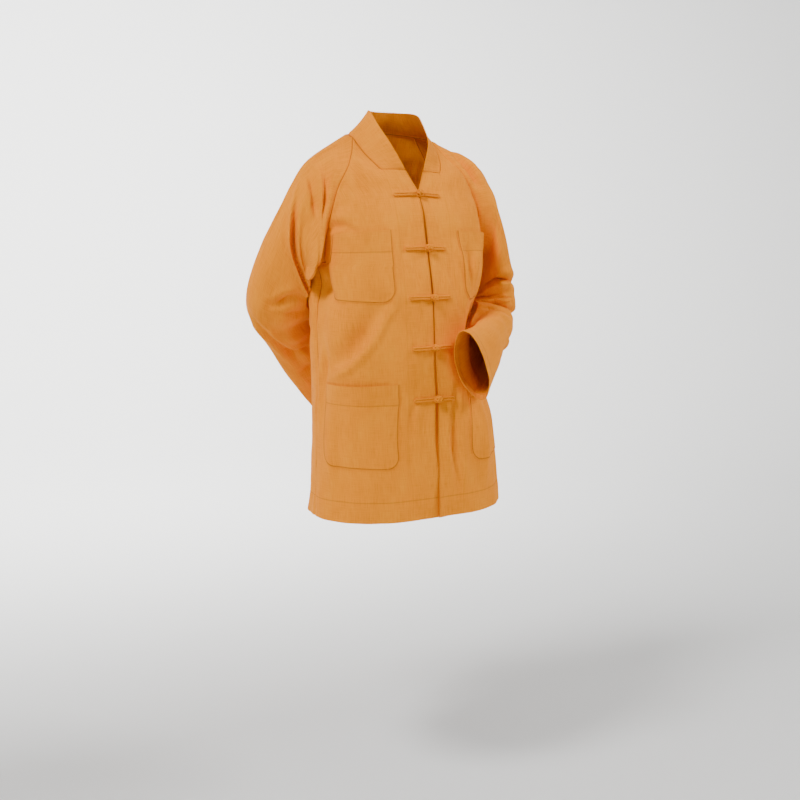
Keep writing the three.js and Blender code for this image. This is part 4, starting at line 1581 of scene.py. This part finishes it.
    def _sleeve_piece(self, name: str, grid: Array, side: Side) -> Sheet:
        """Lays out one sleeve, with its creases.

        Args:
            name: Its name.
            grid: Its points.
            side: Its side.

        Returns:
            The piece.
        """
        around = np.linalg.norm(np.roll(grid, -1, 1) - grid, axis=-1).mean(0)
        u = walked(around)[:-1]
        v = walked(step_lengths(grid).mean(1))
        u, v = np.broadcast_arrays(u[None], v[:, None])
        sheet = Sheet(name, grid, np.stack([u, v], -1), side is Side.RIGHT, wrap=True,
                      thick=self.thick, girth=float(around.sum()))
        sheet.seam = edge_distance(grid, row=0)
        cuff = edge_distance(grid, row=-1)
        sheet.sewn = (sheet.seam, cuff - self.cuff_hem)
        return self._dressed(sheet, cuff, self.cuff_hem, u)

    def _close_armhole(self, sleeve: Sheet, edge: Array) -> None:
        """Pulls the head of a sleeve onto the edges that it is sewn to.

        Args:
            sleeve: The sleeve.
            edge: Points of those edges, in the sleeve's order.
        """
        pull = np.zeros_like(sleeve.points[0])
        pull[:len(edge)] = edge - sleeve.points[0, :len(edge)]
        sleeve.points += pull * bell(sleeve.seam, 0, self.pull_reach)[..., None]

    def _collar_piece(self, grid: Array) -> Sheet:
        """Lays out the collar band.

        Args:
            grid: Its points.

        Returns:
            The piece.
        """
        u = np.broadcast_to(walked(step_lengths(grid, 1).mean(0)), grid.shape[:2])
        v = edge_distance(grid, row=0)
        sheet = Sheet("collar", grid, np.stack([u, v], -1), False, thick=2 * self.thick)
        ends = np.minimum(edge_distance(grid, column=0), edge_distance(grid, column=-1))
        sheet.seam = np.minimum(v, ends)
        sheet.sewn = (v, ends, ends - self.double)
        rise = crinkled(self.waves, SEEDS["collar"], u, v) * self.collar_waves
        sheet.lift(rise * smooth_step(0, self.collar_held, sheet.seam) - self._dip(sheet.seam))
        return sheet

    def _dip(self, seam: Array) -> Array:
        """Returns the dip of a sewn line, with the ridge of its turnings beside it, in mm."""
        ridge = self.hem_rise * bell(seam, *self.turnings)
        return self.seam_dip * bell(seam, 0, self.seam_width) - ridge

    def make(self, sheet: Sheet, held: str = "gathered",
             rests_on: tuple[str, ...] = ()) -> bpy.types.Object:
        """Turns a cut piece into finished cloth.

        Args:
            sheet: The piece.
            held: How it is held; not used.
            rests_on: What it rests on; not used.

        Returns:
            The finished object.
        """
        area = sheet.area()
        sheet.points = self.pattern.form.settle(sheet.points)
        piece = sheet.build(self.wardrobe.cloth)
        select_only(piece)
        wall = piece.modifiers.new("wall", "SOLIDIFY")
        wall.thickness, wall.offset = sheet.thick * MM, 0
        wall.use_even_offset, wall.use_quality_normals = False, True
        bpy.ops.object.modifier_apply(modifier=wall.name)
        smooth(piece)
        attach(piece, "root")
        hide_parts(sheet.name)
        sheet.flat_size()
        return piece

    def seam_lines(self, sheets: dict[str, Sheet]) -> dict[str, Lines]:
        """Lists the lines of stitching on the six main pieces.

        Args:
            sheets: The pieces.

        Returns:
            Lines by the name of the piece.
        """
        lines = {}
        for name, sheet in sheets.items():
            grid, flat = sheet.points, sheet.cut[..., 0]
            if name == "collar":
                v = edge_distance(grid, row=0)
                low, high = self.collar_stitching
                lines[name] = traced(sheet, v, low) + traced(sheet, v, float(v.max()) - high)
                for column in (0, -1):
                    end = edge_distance(grid, column=column)
                    lines[name] += traced(sheet, end, self.double, False)
            elif sheet.wrap:
                lines[name] = traced(sheet, edge_distance(grid, row=-1), self.cuff_hem)
            else:
                lines[name] = traced(sheet, edge_distance(grid, row=0), self.hem)
            if name.startswith("front"):
                from_edge = np.where(np.isnan(grid[:, :1, 0]), np.nan, flat)
                lines[name] += traced(sheet, from_edge, self.edge_stitching, False)
        return lines


@dataclass
class Surface:
    """Reads places on a front by its distance from the opening and its row."""

    sheet: Sheet
    rows: Array

    def at(self, u: Array, row: Array) -> tuple[Array, Array]:
        """Finds points and outward directions.

        Args:
            u: Distances from the opening in mm.
            row: Rows, as the table of rows counts them.

        Returns:
            Points and directions.
        """
        u, row = np.broadcast_arrays(u, row)
        i = np.clip(np.interp(row, self.rows, np.arange(len(self.rows))), 0, len(self.rows) - 1.001)
        low, across = i.astype(int), self.sheet.cut[..., 0]
        grids = np.stack([self.sheet.points, self.sheet.normals()])
        found = np.zeros((2, *u.shape, 3))
        for step, weight in ((0, 1 - (i - low)), (1, i - low)):
            column = np.empty(u.shape)
            for index in np.ndindex(u.shape):
                line = across[low[index] + step]
                column[index] = np.interp(u[index], line, np.arange(len(line)))
            left = np.clip(column.astype(int), 0, across.shape[1] - 2)
            t = (column - left)[..., None]
            near, beyond = (grids[:, low + step, left + k] for k in (0, 1))
            found += weight[..., None] * ((1 - t) * near + t * beyond)
        return found[0], unit(found[1])

    def total(self, row: Array) -> Array:
        """Returns the width of the front at rows."""
        return np.interp(row, self.rows, self.sheet.cut[:, -1, 0])


@dataclass
class PatchPocket:
    """A patch pocket with rounded lower corners and a hemmed mouth. Sizes are in mm.

    Attributes:
        name: Its name.
        foot: Its lowest row on the front.
        top: The row of its mouth.
        width: Its width.
        girth: The half girth that the front has where the pocket is not narrowed.
        seed: Which random waves it has.
        near: From the opening to its nearer edge.
        placket: Width of the strip beside the opening.
        corner: Radius of its lower corners.
        hem: Depth of the hem at its mouth.
        inset: From its edge to its stitching.
        gape: How far its mouth stands off.
        mouth_reach: How far down that reaches.
        step: Size of a grid cell.
        edge_steps: Places of its rows near its foot and its mouth.
        side_steps: The same for its columns near its sides.
        stand: Distance of its middle layer from the front's at its sewn edge.
        slack: How much further it stands off in its middle.
        loosened: Between which distances from its edge it comes off the front.
        clear: The least distance of its middle layer from the front's.
        hem_rise: How much its hem thickens it.
        grooves: Depth and half width of the groove at its hem, then of the one at its edge.
        waves: Its uneven waves.
        least_wave: How deep these go at most.
        gather: The gathers beside its stitching, as one more size of wave.
        gathered: How far from its edge they are highest, and half their reach.
        least_gather: How deep these go at most.
        stitch_rise: How far its stitches lie over its face.
    """

    name: str
    foot: float
    top: float
    width: float
    girth: float
    seed: int
    near: float = 80
    placket: float = 62
    corner: float = 30
    hem: float = 41
    inset: float = 2.4
    gape: float = 4.5
    mouth_reach: float = 26
    step: float = 4.6
    edge_steps: tuple[float, ...] = (0, 0.4, 1.1, 2.2, 3.6, 5.6, 8.6)
    side_steps: tuple[float, ...] = (0, 1.2, 2.4, 3.8, 6)
    stand: float = 1.25
    slack: float = 1.0
    loosened: tuple[float, float] = (2, 22)
    clear: float = 1.1
    hem_rise: float = 0.5
    grooves: tuple[float, ...] = (0.6, 2.2, 0.42, 1.5)
    waves: Waves = ((46, 60, 0.9), (16, 34, 0.45), (8, 16, 0.16))
    least_wave: float = -0.8
    gather: tuple[float, float, float] = (7.5, 7.5, 0.22)
    gathered: tuple[float, float] = (5, 5)
    least_gather: float = -0.2
    stitch_rise: float = 0.12

    def cut(self, front: Surface) -> Sheet:
        """Cuts the pocket and lays it on its front.

        Args:
            front: The front that it is sewn on.

        Returns:
            The pocket.
        """
        rows = np.linspace(self.foot, self.top, 41)
        scale = np.minimum(1, (front.total(rows) - self.placket) / (self.girth - self.placket))
        start = self.placket + (self.near - self.placket) * scale
        middle, _ = front.at(start + self.width * scale / 2, rows)
        height = walked(step_lengths(middle))
        v = spread(height[-1], self.step, self.edge_steps) * height[-1]
        u = spread(self.width, self.step, self.side_steps) * self.width
        short = np.clip(self.corner - v, 0, None)
        inset = self.corner - np.sqrt(self.corner**2 - short**2)
        across = inset[:, None] + (self.width - 2 * inset)[:, None] * (u / self.width)[None]
        up = np.broadcast_to(v[:, None], across.shape)
        row, grow, first = (np.interp(up, height, values) for values in (rows, scale, start))
        points, out = front.at(first + across * grow, row)
        edge = self._from_edge(across, up)
        from_top = height[-1] - up
        waves = crinkled(self.waves, self.seed, across, up)
        loose = smooth_step(*self.loosened, edge)
        mouth = np.sin(np.pi * np.clip(across / self.width, 0, 1)) ** 0.7
        mouth *= self.gape * bell(from_top, 0, self.mouth_reach)
        lift = self.stand + loose * (self.slack + np.maximum(waves, self.least_wave)) + mouth
        lift += self.hem_rise * hemmed(self.hem, from_top)
        hem_deep, hem_wide, edge_deep, edge_wide = self.grooves
        lift -= hem_deep * bell(from_top, self.hem, hem_wide)
        lift -= edge_deep * bell(edge, self.inset, edge_wide)
        gathers = crinkled((self.gather,), self.seed + 5, across, up) * bell(edge, *self.gathered)
        lift = np.maximum(lift + np.maximum(gathers, self.least_gather), self.clear)
        sheet = Sheet(self.name, points + out * lift[..., None],
                      np.stack([across + 0.7, up + 0.3], -1), front.sheet.flip)
        sheet.sewn = (edge - self.inset, from_top - self.hem)
        sheet.flat = (self.width * MM, (height[-1] + self.hem) * MM)
        self.height, self.across, self.up = height[-1], u, v
        return sheet

    def _from_edge(self, across: Array, up: Array) -> Array:
        """Measures places from the sewn outline, which leaves out the mouth.

        Args:
            across: Places across the pocket.
            up: Places up from its foot.

        Returns:
            Their distance from it.
        """
        x = np.minimum(across, self.width - across)
        dx, dy = self.corner - x, self.corner - up
        rounded = (dx > 0) & (dy > 0)
        return np.where(rounded, self.corner - np.hypot(dx, dy), np.minimum(x, up))

    def stitching(self, sheet: Sheet) -> Lines:
        """Lists the lines that the pocket is sewn along.

        Args:
            sheet: The pocket.

        Returns:
            The lines.
        """
        out = sheet.normals()
        face = sheet.points + out * (sheet.thick / 2 + self.stitch_rise)
        column, row, hem = (int(np.argmin(abs(places - at))) for places, at in (
            (self.across, self.inset), (self.up, self.inset), (self.up, self.height - self.hem)))
        last = len(self.across) - 1 - column
        around = [(r, column) for r in range(len(self.up) - 1, row, -1)]
        around += [(row, c) for c in range(column, last + 1)]
        around += [(r, last) for r in range(row + 1, len(self.up))]
        lines = [around, [(hem, c) for c in range(column, last + 1)]]
        return [tuple(np.array([grid[i] for i in line]) for grid in (face, out)) for line in lines]


@dataclass
class Frog:
    """A knotted closure: a loop of doubled cord on one front and a button knot on the other.

    Sizes are in mm.

    Attributes:
        wardrobe: Its finishes.
        form: The form, which settles finished points.
        plackets: The two fronts, by side.
        height: Its height on the opening.
        loop_bar: Length of the bar with the loop.
        knot_bar: Length of the bar with the knot.
        cord: Radius of the cord.
        eye: Radius of the loop round the knot.
        ball: Radius of the knot up to the middle of its cord.
        stand: Height of the knot's middle over the cloth.
        bridge: How far from the opening it lies straight across it.
        sides: How many sides the round cord has.
        pinch: Distance between the two cords of a bar, beside the cord's thickness.
        bed: Height of the cord's underside over the middle of the cloth.
        crossover: How far from the opening it leaves one front for the other.
        loop_start: From the ring of the loop to its bar.
        ring_gap: Half the angle at which that ring is open.
        climb: How far that ring rises over the cord of the knot.
        knot_start: From the middle of the knot to its bar.
        strands: Turns, tilt and unevenness of the knot's cord.
        uneven: How uneven the cord is, and how fast that changes.
        step: Length of one piece of the cord.
        join: Length of the piece that joins its ends, on the flat cut.
    """

    wardrobe: Wardrobe
    form: Form
    plackets: dict[Side, Surface]
    height: float
    loop_bar: float = 50
    knot_bar: float = 42
    cord: float = 2.25
    eye: float = 5.6
    ball: float = 4.5
    stand: float = 8.1
    bridge: float = 5
    sides: int = 10
    pinch: float = 0.98
    bed: float = 0.45
    crossover: float = 4
    loop_start: float = 3.2
    ring_gap: float = 0.42
    climb: float = 3.9
    knot_start: float = 3.4
    strands: tuple[int, float, float] = (3, 1.12, 0.75)
    uneven: tuple[float, float] = (0.06, 0.9)
    step: float = 1.3
    join: float = 1.5

    def _place(self, side: Side, flat: Array) -> Array:
        """Lays flat points over the opening.

        Args:
            side: The side that x runs towards.
            flat: Points: x away from the opening, y up and the height over the cloth, in mm.

        Returns:
            The points on the jacket, in mm.
        """
        inner = ROWS.column("inner")[:NECKLINE_FOOT + 1]
        row = np.interp(self.height + flat[:, 1], inner, np.arange(len(inner)))
        own, other = (self.plackets[Side(k * side.value)].at(np.maximum(k * flat[:, 0], 0.2), row)
                      for k in (1, -1))
        share = smooth_step(-self.crossover, self.crossover, flat[:, 0])[:, None]
        ground, out = (share * a + (1 - share) * b for a, b in zip(own, other))
        near, far = bell(flat[:, :1], 0, self.bridge), flat[:, 0].argmax()
        across = unit(own[0][far] - other[0][far])
        crossing = (own[0] + other[0]) / 2 + across * flat[:, :1]
        return near * crossing + (1 - near) * ground + out * (self.bed + flat[:, 2:])

    def _hairpin(self, start: float, end: float) -> Array:
        """Lays a doubled cord flat: out along one side, round, and back along the other.

        Args:
            start: Where it starts and ends, from the opening in mm.
            end: How far it reaches in mm.

        Returns:
            Its flat line.
        """
        half = self.cord * self.pinch
        out = np.linspace(start, end - half, 12)
        turn = np.linspace(-np.pi / 2, np.pi / 2, 9)[1:-1]
        x = np.concatenate([out, end - half + half * np.cos(turn), out[::-1]])
        y = np.concatenate([0 * out - half, half * np.sin(turn), 0 * out + half])
        return np.stack([x, y], -1)

    def loop(self, name: str, side: Side) -> bpy.types.Object:
        """Makes the half with the loop.

        Args:
            name: Its name.
            side: The side that its bar is on.

        Returns:
            The cord.
        """
        bar = self._hairpin(self.eye + self.loop_start, self.loop_bar)
        turn = np.linspace(self.ring_gap, 2 * np.pi - self.ring_gap, 25)
        ring = self.eye * np.stack([np.cos(turn), np.sin(turn)], -1)
        flat = np.concatenate([bar, ring])
        rise = smooth_step(-self.eye, self.eye, -flat[:, 0]) * (abs(flat[:, 0]) < self.eye + 1)
        line = np.column_stack([flat, self.cord + self.climb * rise])
        return self._tube(name, side, [line], [True])

    def knot(self, name: str, side: Side) -> bpy.types.Object:
        """Makes the half with the button knot.

        Args:
            name: Its name.
            side: The side that its bar is on.

        Returns:
            The cord.
        """
        half, cord = self.cord * self.pinch, self.cord
        bar = self._hairpin(self.knot_start, self.knot_bar)
        flat = np.column_stack([bar, np.full(len(bar), cord)])
        stalk = np.array([(1.2, 0.9 * half, cord + 1.0), (0.2, 0.6 * half, cord + 3.2),
                          (0.0, 0.5 * half, self.stand - 2)])
        line = np.concatenate([stalk[::-1] * (1, -1, 1), flat, stalk])
        turns, lean, uneven = self.strands
        turn = np.linspace(0, 2 * np.pi * turns, 36 * turns, endpoint=False)
        tilt = lean * np.cos(4 * turn / 3)
        far = self.ball + uneven * np.sin(8 * turn / 3)
        knot = np.stack([far * np.cos(tilt) * np.cos(turn), far * np.cos(tilt) * np.sin(turn),
                         self.stand + far * np.sin(tilt)], -1)
        return self._tube(name, side, [line, knot], [False, True])

    def _tube(self, name: str, side: Side, lines: list[Array],
              closed: list[bool]) -> bpy.types.Object:
        """Makes round cord along flat lines, with its length and turn as a UV map.

        Args:
            name: The object's name.
            side: The side that x runs towards.
            lines: The lines, in flat coordinates.
            closed: Whether each line joins up.

        Returns:
            The cord.
        """
        around, verts, faces, coords, first = self.sides, [], [], [], 0
        angle = np.arange(around)[:, None] * 2 * np.pi / around
        arc = 2 * np.pi * self.cord / around
        for line, shut in zip(lines, closed):
            points = self._smooth(self._place(side, line), shut)
            n = len(points)
            ahead = np.roll(points, -1, 0) - np.roll(points, 1, 0)
            if not shut:
                ahead[0], ahead[-1] = points[1] - points[0], points[-1] - points[-2]
            ahead = unit(ahead)
            beside = self._frames(ahead, shut)
            up = np.cross(ahead, beside)
            ring = np.cos(angle) * beside[:, None] + np.sin(angle) * up[:, None]
            squash = 1 - self.uneven[0] * np.sin(np.arange(n) * self.uneven[1])
            ring *= self.cord * squash[:, None, None]
            verts.append((points[:, None] + ring).reshape(-1, 3))
            i, a = np.indices((n if shut else n - 1, around)).reshape(2, -1)
            j, b = (i + 1) % n, (a + 1) % around
            corners = [i * around + a, i * around + b, j * around + b, j * around + a]
            faces += (first + np.stack(corners, -1)).tolist()
            length = walked(step_lengths(points))
            length = np.append(length, length[-1] + self.join)
            low, high, right, left = length[i], length[i + 1], a * arc, (a + 1) * arc
            coords.append(np.stack([right, low, left, low, left, high, right, high], -1).ravel())
            if not shut:
                for i, ids in ((0, np.arange(around)[::-1]), (n - 1, np.arange(around))):
                    faces.append((first + i * around + ids).tolist())
                    coords.append(np.hstack([np.cos(angle), np.sin(angle)])[ids].ravel())
            first += n * around
        points = self.form.settle(np.concatenate(verts)) * MM
        cord = new_mesh(name, points, faces, self.wardrobe.cord)
        cord.data.uv_layers.new(name="cut").data.foreach_set("uv", np.concatenate(coords) * MM)
        select_only(cord)
        bpy.ops.object.mode_set(mode="EDIT")
        bpy.ops.mesh.select_all(action="SELECT")
        bpy.ops.mesh.normals_make_consistent(inside=False)
        bpy.ops.object.mode_set(mode="OBJECT")
        smooth(cord, 70)
        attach(cord, "root")
        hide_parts(name)
        return cord

    def _smooth(self, points: Array, shut: bool) -> Array:
        """Runs a smooth curve of short steps through points.

        Args:
            points: The points.
            shut: Whether the last one joins the first.

        Returns:
            The points of the curve.
        """
        line = np.concatenate([points[-2:], points, points[:3]]) if shut else points
        counts = [max(1, round(length / self.step)) for length in step_lengths(line)]
        at = [i + np.arange(n) / n for i, n in enumerate(counts)]
        at = np.concatenate([*at, [len(line) - 1.0]])
        if shut:
            at = at[(at >= 2) & (at < len(line) - 3)]
        return through(line, at)

    @staticmethod
    def _frames(ahead: Array, shut: bool) -> Array:
        """Carries one sideways direction along a line without needless twist.

        Args:
            ahead: The line's direction at each of its points.
            shut: Whether the line joins up.

        Returns:
            The sideways direction at each point.
        """
        beside = np.empty_like(ahead)
        start = np.cross(ahead[0], [0.31, 0.52, 0.79])
        for i, a in enumerate(ahead):
            beside[i] = start = unit(start - a * (start @ a))
        if shut:
            back = unit(beside[-1] - ahead[0] * (beside[-1] @ ahead[0]))
            off = math.atan2(np.cross(back, beside[0]) @ ahead[0], back @ beside[0])
            turn = off * np.arange(len(ahead))[:, None] / len(ahead)
            beside = beside * np.cos(turn) + np.cross(ahead, beside) * np.sin(turn)
        return beside


@dataclass
class Studio:
    """The paper, the lights and the camera.

    Attributes:
        floor: Height of the floor in metres.
        azimuth: Where the camera stands, in degrees from the front.
        distance: How far it stands from the jacket in metres.
        beside: How far it stands to the side of the jacket's middle in metres.
        eye: Height of the camera in metres.
        dip: How far it looks down in degrees.
        lens: Its focal length in mm.
        sweep: How far out the paper begins to curve up, and how fast it does.
        glow: Strength of the room's even light.
        lights: Name, place, size, power and aim of each soft light.
        paper: The paper.
    """

    floor: float = -1.42
    azimuth: float = -28.17
    distance: float = 3.305
    beside: float = 0.0159
    eye: float = 0.010
    dip: float = 9.63
    lens: float = 69.68
    sweep: tuple[float, float] = (3.6, 0.5)
    glow: float = 0.07
    lights: tuple[tuple, ...] = (
        ("key", (-2.2, -1.1, 2.6), 0.85, 138, (0, 0, -0.35)),
        ("fill", (2.7, -1.5, 2.0), 1.2, 95, (0, 0, -0.35)),
        ("backdrop", (0, 2.4, 1.8), 2.6, 480, (0, 7, -1.0)),
    )
    paper: StudioPaper = field(default_factory=StudioPaper)

    def build(self) -> None:
        """Sets up everything that is not part of the jacket."""
        self._camera()
        self._paper_sweep()
        self._world()
        for light in self.lights:
            self._light(*light)

    def _camera(self) -> None:
        """Stands the camera level with the neck and tips it down to the jacket's middle."""
        turn = math.radians(self.azimuth)
        ahead = Vector((-math.sin(turn), math.cos(turn), 0))
        camera = bpy.data.objects.new("camera", bpy.data.cameras.new("camera"))
        bpy.context.scene.collection.objects.link(camera)
        right = Vector((ahead.y, -ahead.x, 0))
        camera.location = -ahead * self.distance + right * self.beside + Vector((0, 0, self.eye))
        camera.rotation_euler = (math.pi / 2 - math.radians(self.dip), 0, turn)
        camera.data.lens, camera.data.sensor_width = self.lens, 36
        bpy.context.scene.camera = camera

    def _paper_sweep(self) -> None:
        """Models one sheet of paper that lies on the floor and curves up behind the jacket."""
        bpy.ops.object.select_all(action="DESELECT")
        bpy.ops.mesh.primitive_plane_add(size=14, location=(0, 0, self.floor))
        paper = bpy.context.object
        paper.name = "studio_paper"
        bpy.ops.object.transform_apply(location=True, rotation=True, scale=True)
        bpy.ops.object.mode_set(mode="EDIT")
        bpy.ops.mesh.subdivide(number_cuts=40)
        bpy.ops.object.mode_set(mode="OBJECT")
        for vertex in paper.data.vertices:
            far = math.hypot(vertex.co.x, vertex.co.y)
            vertex.co.z = self.floor + self.sweep[1] * max(far - self.sweep[0], 0) ** 2
        paper.data.materials.append(self.paper.material())
        smooth(paper)

    def _world(self) -> None:
        """Lights the whole room softly and evenly."""
        world = bpy.data.worlds.new("room")
        world.use_nodes = True
        back = world.node_tree.nodes["Background"]
        back.inputs["Color"].default_value = (1, 1, 1, 1)
        back.inputs["Strength"].default_value = self.glow
        bpy.context.scene.world = world

    def _light(self, name: str, place: tuple[float, float, float], size: float, power: float,
               aim: tuple[float, float, float]) -> None:
        """Hangs a square soft light.

        Args:
            name: Its name.
            place: Where it hangs.
            size: Its width in metres.
            power: Its power in watts.
            aim: The place that it points at.
        """
        light = bpy.data.objects.new(name, bpy.data.lights.new(name, "AREA"))
        light.data.size, light.data.energy = size, power
        light.location = place
        light.rotation_euler = (Vector(aim) - light.location).to_track_quat("-Z", "Y").to_euler()
        bpy.context.scene.collection.objects.link(light)


# ---------------- creases placed one by one
# Each row: half width, rise, which is below 0 for a trough, then the corners of its line. On the
# fronts and the back these are mm from the opening or from the middle, and the height; on a
# sleeve, mm round the arm from its outside by way of the front, and mm along it.
FOLDS = {}
FOLDS["front_right"] = folds("""
8 6  78 -300 88 -332 108 -360 128 -397 156 -430 181 -453 228 -474
17 -10.4  118 -318 132 -350 150 -384 176 -414 204 -436 244 -454
9 5.6  262 -425 284 -480 282 -540 278 -590
9 -4.7  250 -420 262 -462 256 -500
8 -6.6  226 -176 172 -171 146 -186
11 -9.4  262 -232 244 -258 238 -290
8 4.2  196 -238 206 -262 204 -292
13 -6  262 -280 232 -308 204 -346
9 2.9  50 -130 64 -186 78 -240 84 -310
9 -4.9  84 -34 100 -58 113 -84 120 -110
7 -3.4  62 -630 62 -662 63 -690 68 -728
7 -3.8  48 -522 54 -556 50 -600
7 -2.5  30 -236 34 -262 31 -296
7 -2.6  34 -330 30 -362 36 -398
9 -2.6  148 -126 172 -134 194 -132
13 4.2  228 -600 238 -668 232 -735
14 -1.9  0 -672 0 -880
""")
FOLDS["front_left"] = folds("""
7 -6.4  47 -500 40 -545 35 -590 35 -630 40 -662 47 -690 52 -728
7 3.4  22 -560 18 -620 24 -690
8 3.4  66 -560 60 -620 66 -700
8 -6  44 -240 52 -275 64 -312 74 -358
9 5.6  70 -205 84 -243 90 -285 92 -330
9 -5.6  100 -190 108 -235 106 -290
12 6  150 -185 140 -230 122 -285
9 -5.6  166 -56 176 -78 176 -104
7 -2.5  24 -232 28 -258 24 -292
12 -4.9  200 -560 214 -630 206 -715
11 3.8  120 -560 126 -640 120 -730
14 2.0  0 -672 0 -880
""")
FOLDS["back"] = folds("""
13 -7.2  -150 -150 -122 -250 -60 -330
13 -8  152 -140 122 -270 70 -356
11 -8.4  -196 -296 -134 -344 -58 -366
10 6.1  -200 -372 -150 -400 -96 -404
10 -6.1  186 -330 134 -384 90 -416
14 8.1  -96 -430 -82 -560 -90 -716
15 8.1  82 -440 94 -580 84 -730
12 -5.8  -12 -470 4 -610 -8 -752
13 -6.5  -226 -520 -212 -640 -224 -745
13 -6.5  232 -500 216 -630 230 -750
13 -4.4  -66 -34 0 -54 62 -38
9 -8  -186 -236 -150 -262 -104 -268
9 6  -190 -318 -150 -306 -92 -322
10 -9  -184 -430 -124 -450 -46 -444
9 6  -176 -486 -112 -490 -60 -478
10 -8  204 -246 182 -300 170 -372
10 7  214 -410 192 -470 204 -530
11 -8  -42 -590 -34 -680 -44 -764
12 -9  142 -556 150 -660 136 -760
11 -8  -150 -580 -160 -660 -146 -764
13 6  98 -90 84 -160 94 -236
13 6  -104 -80 -90 -150 -108 -224
12 -6  36 -380 52 -440 40 -500
14 -13  -122 -250 -84 -300 -30 -336
16 -10  -116 -196 -60 -232 16 -244
14 -12  150 -262 108 -316 50 -346
12 8  140 -330 90 -372 60 -380
22 -15  104 -470 112 -600 98 -772
15 -9  48 -560 56 -670 44 -774
14 -10  -70 -650 -78 -712 -66 -776
15 -11  -140 -640 -148 -712 -138 -776
""")
# The long break down the upper arm, the armpit, the elbow and the forearm.
FOLDS["sleeve_right"] = folds("""
26 -7  82 62 61 187
24 6  150 114 102 270
22 -9  197 312 61 359
22 -7  204 395 75 432
7.5 7.5  18 84 52 132 73 160 100 172 120 192 130 210
10 -14  46 108 74 136 96 160 120 172 140 192 150 210
8 -3  100 100 116 124 132 146
7.5 -9  14 44 64 33 98 30 130 40 160 56
8 -9.5  18 66 58 66 92 63 124 54 158 62
32 24  148 10 160 60 168 104
20 17  146 18 152 60 154 108
26 24  172 10 180 56 180 116
28 13  166 96 170 150 168 195 160 245
6.5 -12  62 286 76 276 88 256 104 234 124 220
8 -4.5  66 304 90 288 112 276 134 262
11 -9  14 338 42 360 54 405 62 438 73 470
9 -9  60 436 90 440 124 446
8 -8  56 492 85 490 116 500
10 -6  210 252 262 268 316 280
10 -6  206 300 262 312 324 314
10 -5  214 350 272 348 334 340
12 -4.5  300 56 286 120 258 172
15 4.5  344 80 334 160 304 222
13 -3  386 150 372 220 380 300
12 -6  398 60 410 130 394 190
11 -6  352 296 376 350 356 414
10 5  296 420 332 446 376 450
""")
# The shoulder, the two sharp creases at the elbow and the cuff.
FOLDS["sleeve_left"] = folds("""
22 -8  231 281 68 291
20 -8  218 343 61 359
26 -7  48 73 34 198
24 6  150 83 102 187
7 -22  2 12 14 21 34 22 62 20
4.8 -8  56 270 100 249 143 222 180 215
4.8 -6  96 302 140 300 186 304
7 -6  60 336 86 360 98 396
8 -14  40 276 70 264 107 244 143 220 178 214 208 240
9 3.5  70 302 107 298 143 296 190 300
6 -3.2  100 318 143 320 184 338 221 350
9 -6  120 398 152 403 184 412 224 404
13 3.5  100 462 148 462 190 470
8 5  52 440 78 446 100 452
28 18  216 262 226 330 236 410
30 18  212 40 222 140 226 262
26 26  254 370 282 425 290 492
28 20  286 262 318 326 336 372 336 420
12 -4.5  300 50 302 120 272 182
15 4.5  346 90 342 180 322 244
13 -3.4  332 300 300 352 268 404
11 -3.2  232 486 282 504 336 494
13 -3.2  96 60 104 120 92 190
9 -5  10 330 44 344 82 354
11 -6  378 250 400 292 394 344
12 -6  352 112 374 170 366 232
""")


def report(piece: bpy.types.Object) -> None:
    """Reports a finished piece."""
    LOG.info("%s: %d faces", piece.name, len(piece.data.polygons))


def main() -> None:
    """Builds the jacket piece by piece."""
    logging.basicConfig(level=logging.INFO, format="%(name)s: %(message)s")
    Studio().build()
    wardrobe, pattern = Wardrobe(), Pattern()
    needle, panels = Needle(wardrobe, pattern.form), Panels(pattern, wardrobe)
    sheets = panels.cut()
    fronts = {side: Surface(sheets[f"front_{side.word}"], pattern.rows) for side in Side}
    pockets = []
    for side, front in fronts.items():
        for kind, sizes in POCKETS.items():
            seed = SEEDS["pocket"] + SEED_STEP * len(pockets)
            pocket = PatchPocket(f"pocket_{kind}_{side.word}", *sizes, seed)
            pockets.append((pocket, pocket.cut(front), front.sheet.name))
    for k, sizes in enumerate(FROGS.rows[::-1], 1):
        frog = Frog(wardrobe, pattern.form, fronts, *sizes)
        report(frog.loop(f"frog_loop_{k}", Side.RIGHT))
        report(frog.knot(f"frog_knot_{k}", Side.LEFT))
    for pocket, sheet, _ in pockets:
        report(needle.run(f"{pocket.name}_stitching", pocket.stitching(sheet)))
    for name, lines in panels.seam_lines(sheets).items():
        report(needle.run(f"{name}_stitching", lines))
    for _, sheet, front in pockets:
        report(panels.make(sheet, "stretched", (front,)))
    for sheet in sheets.values():
        report(panels.make(sheet))
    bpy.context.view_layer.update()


if __name__ == "__main__":
    main()
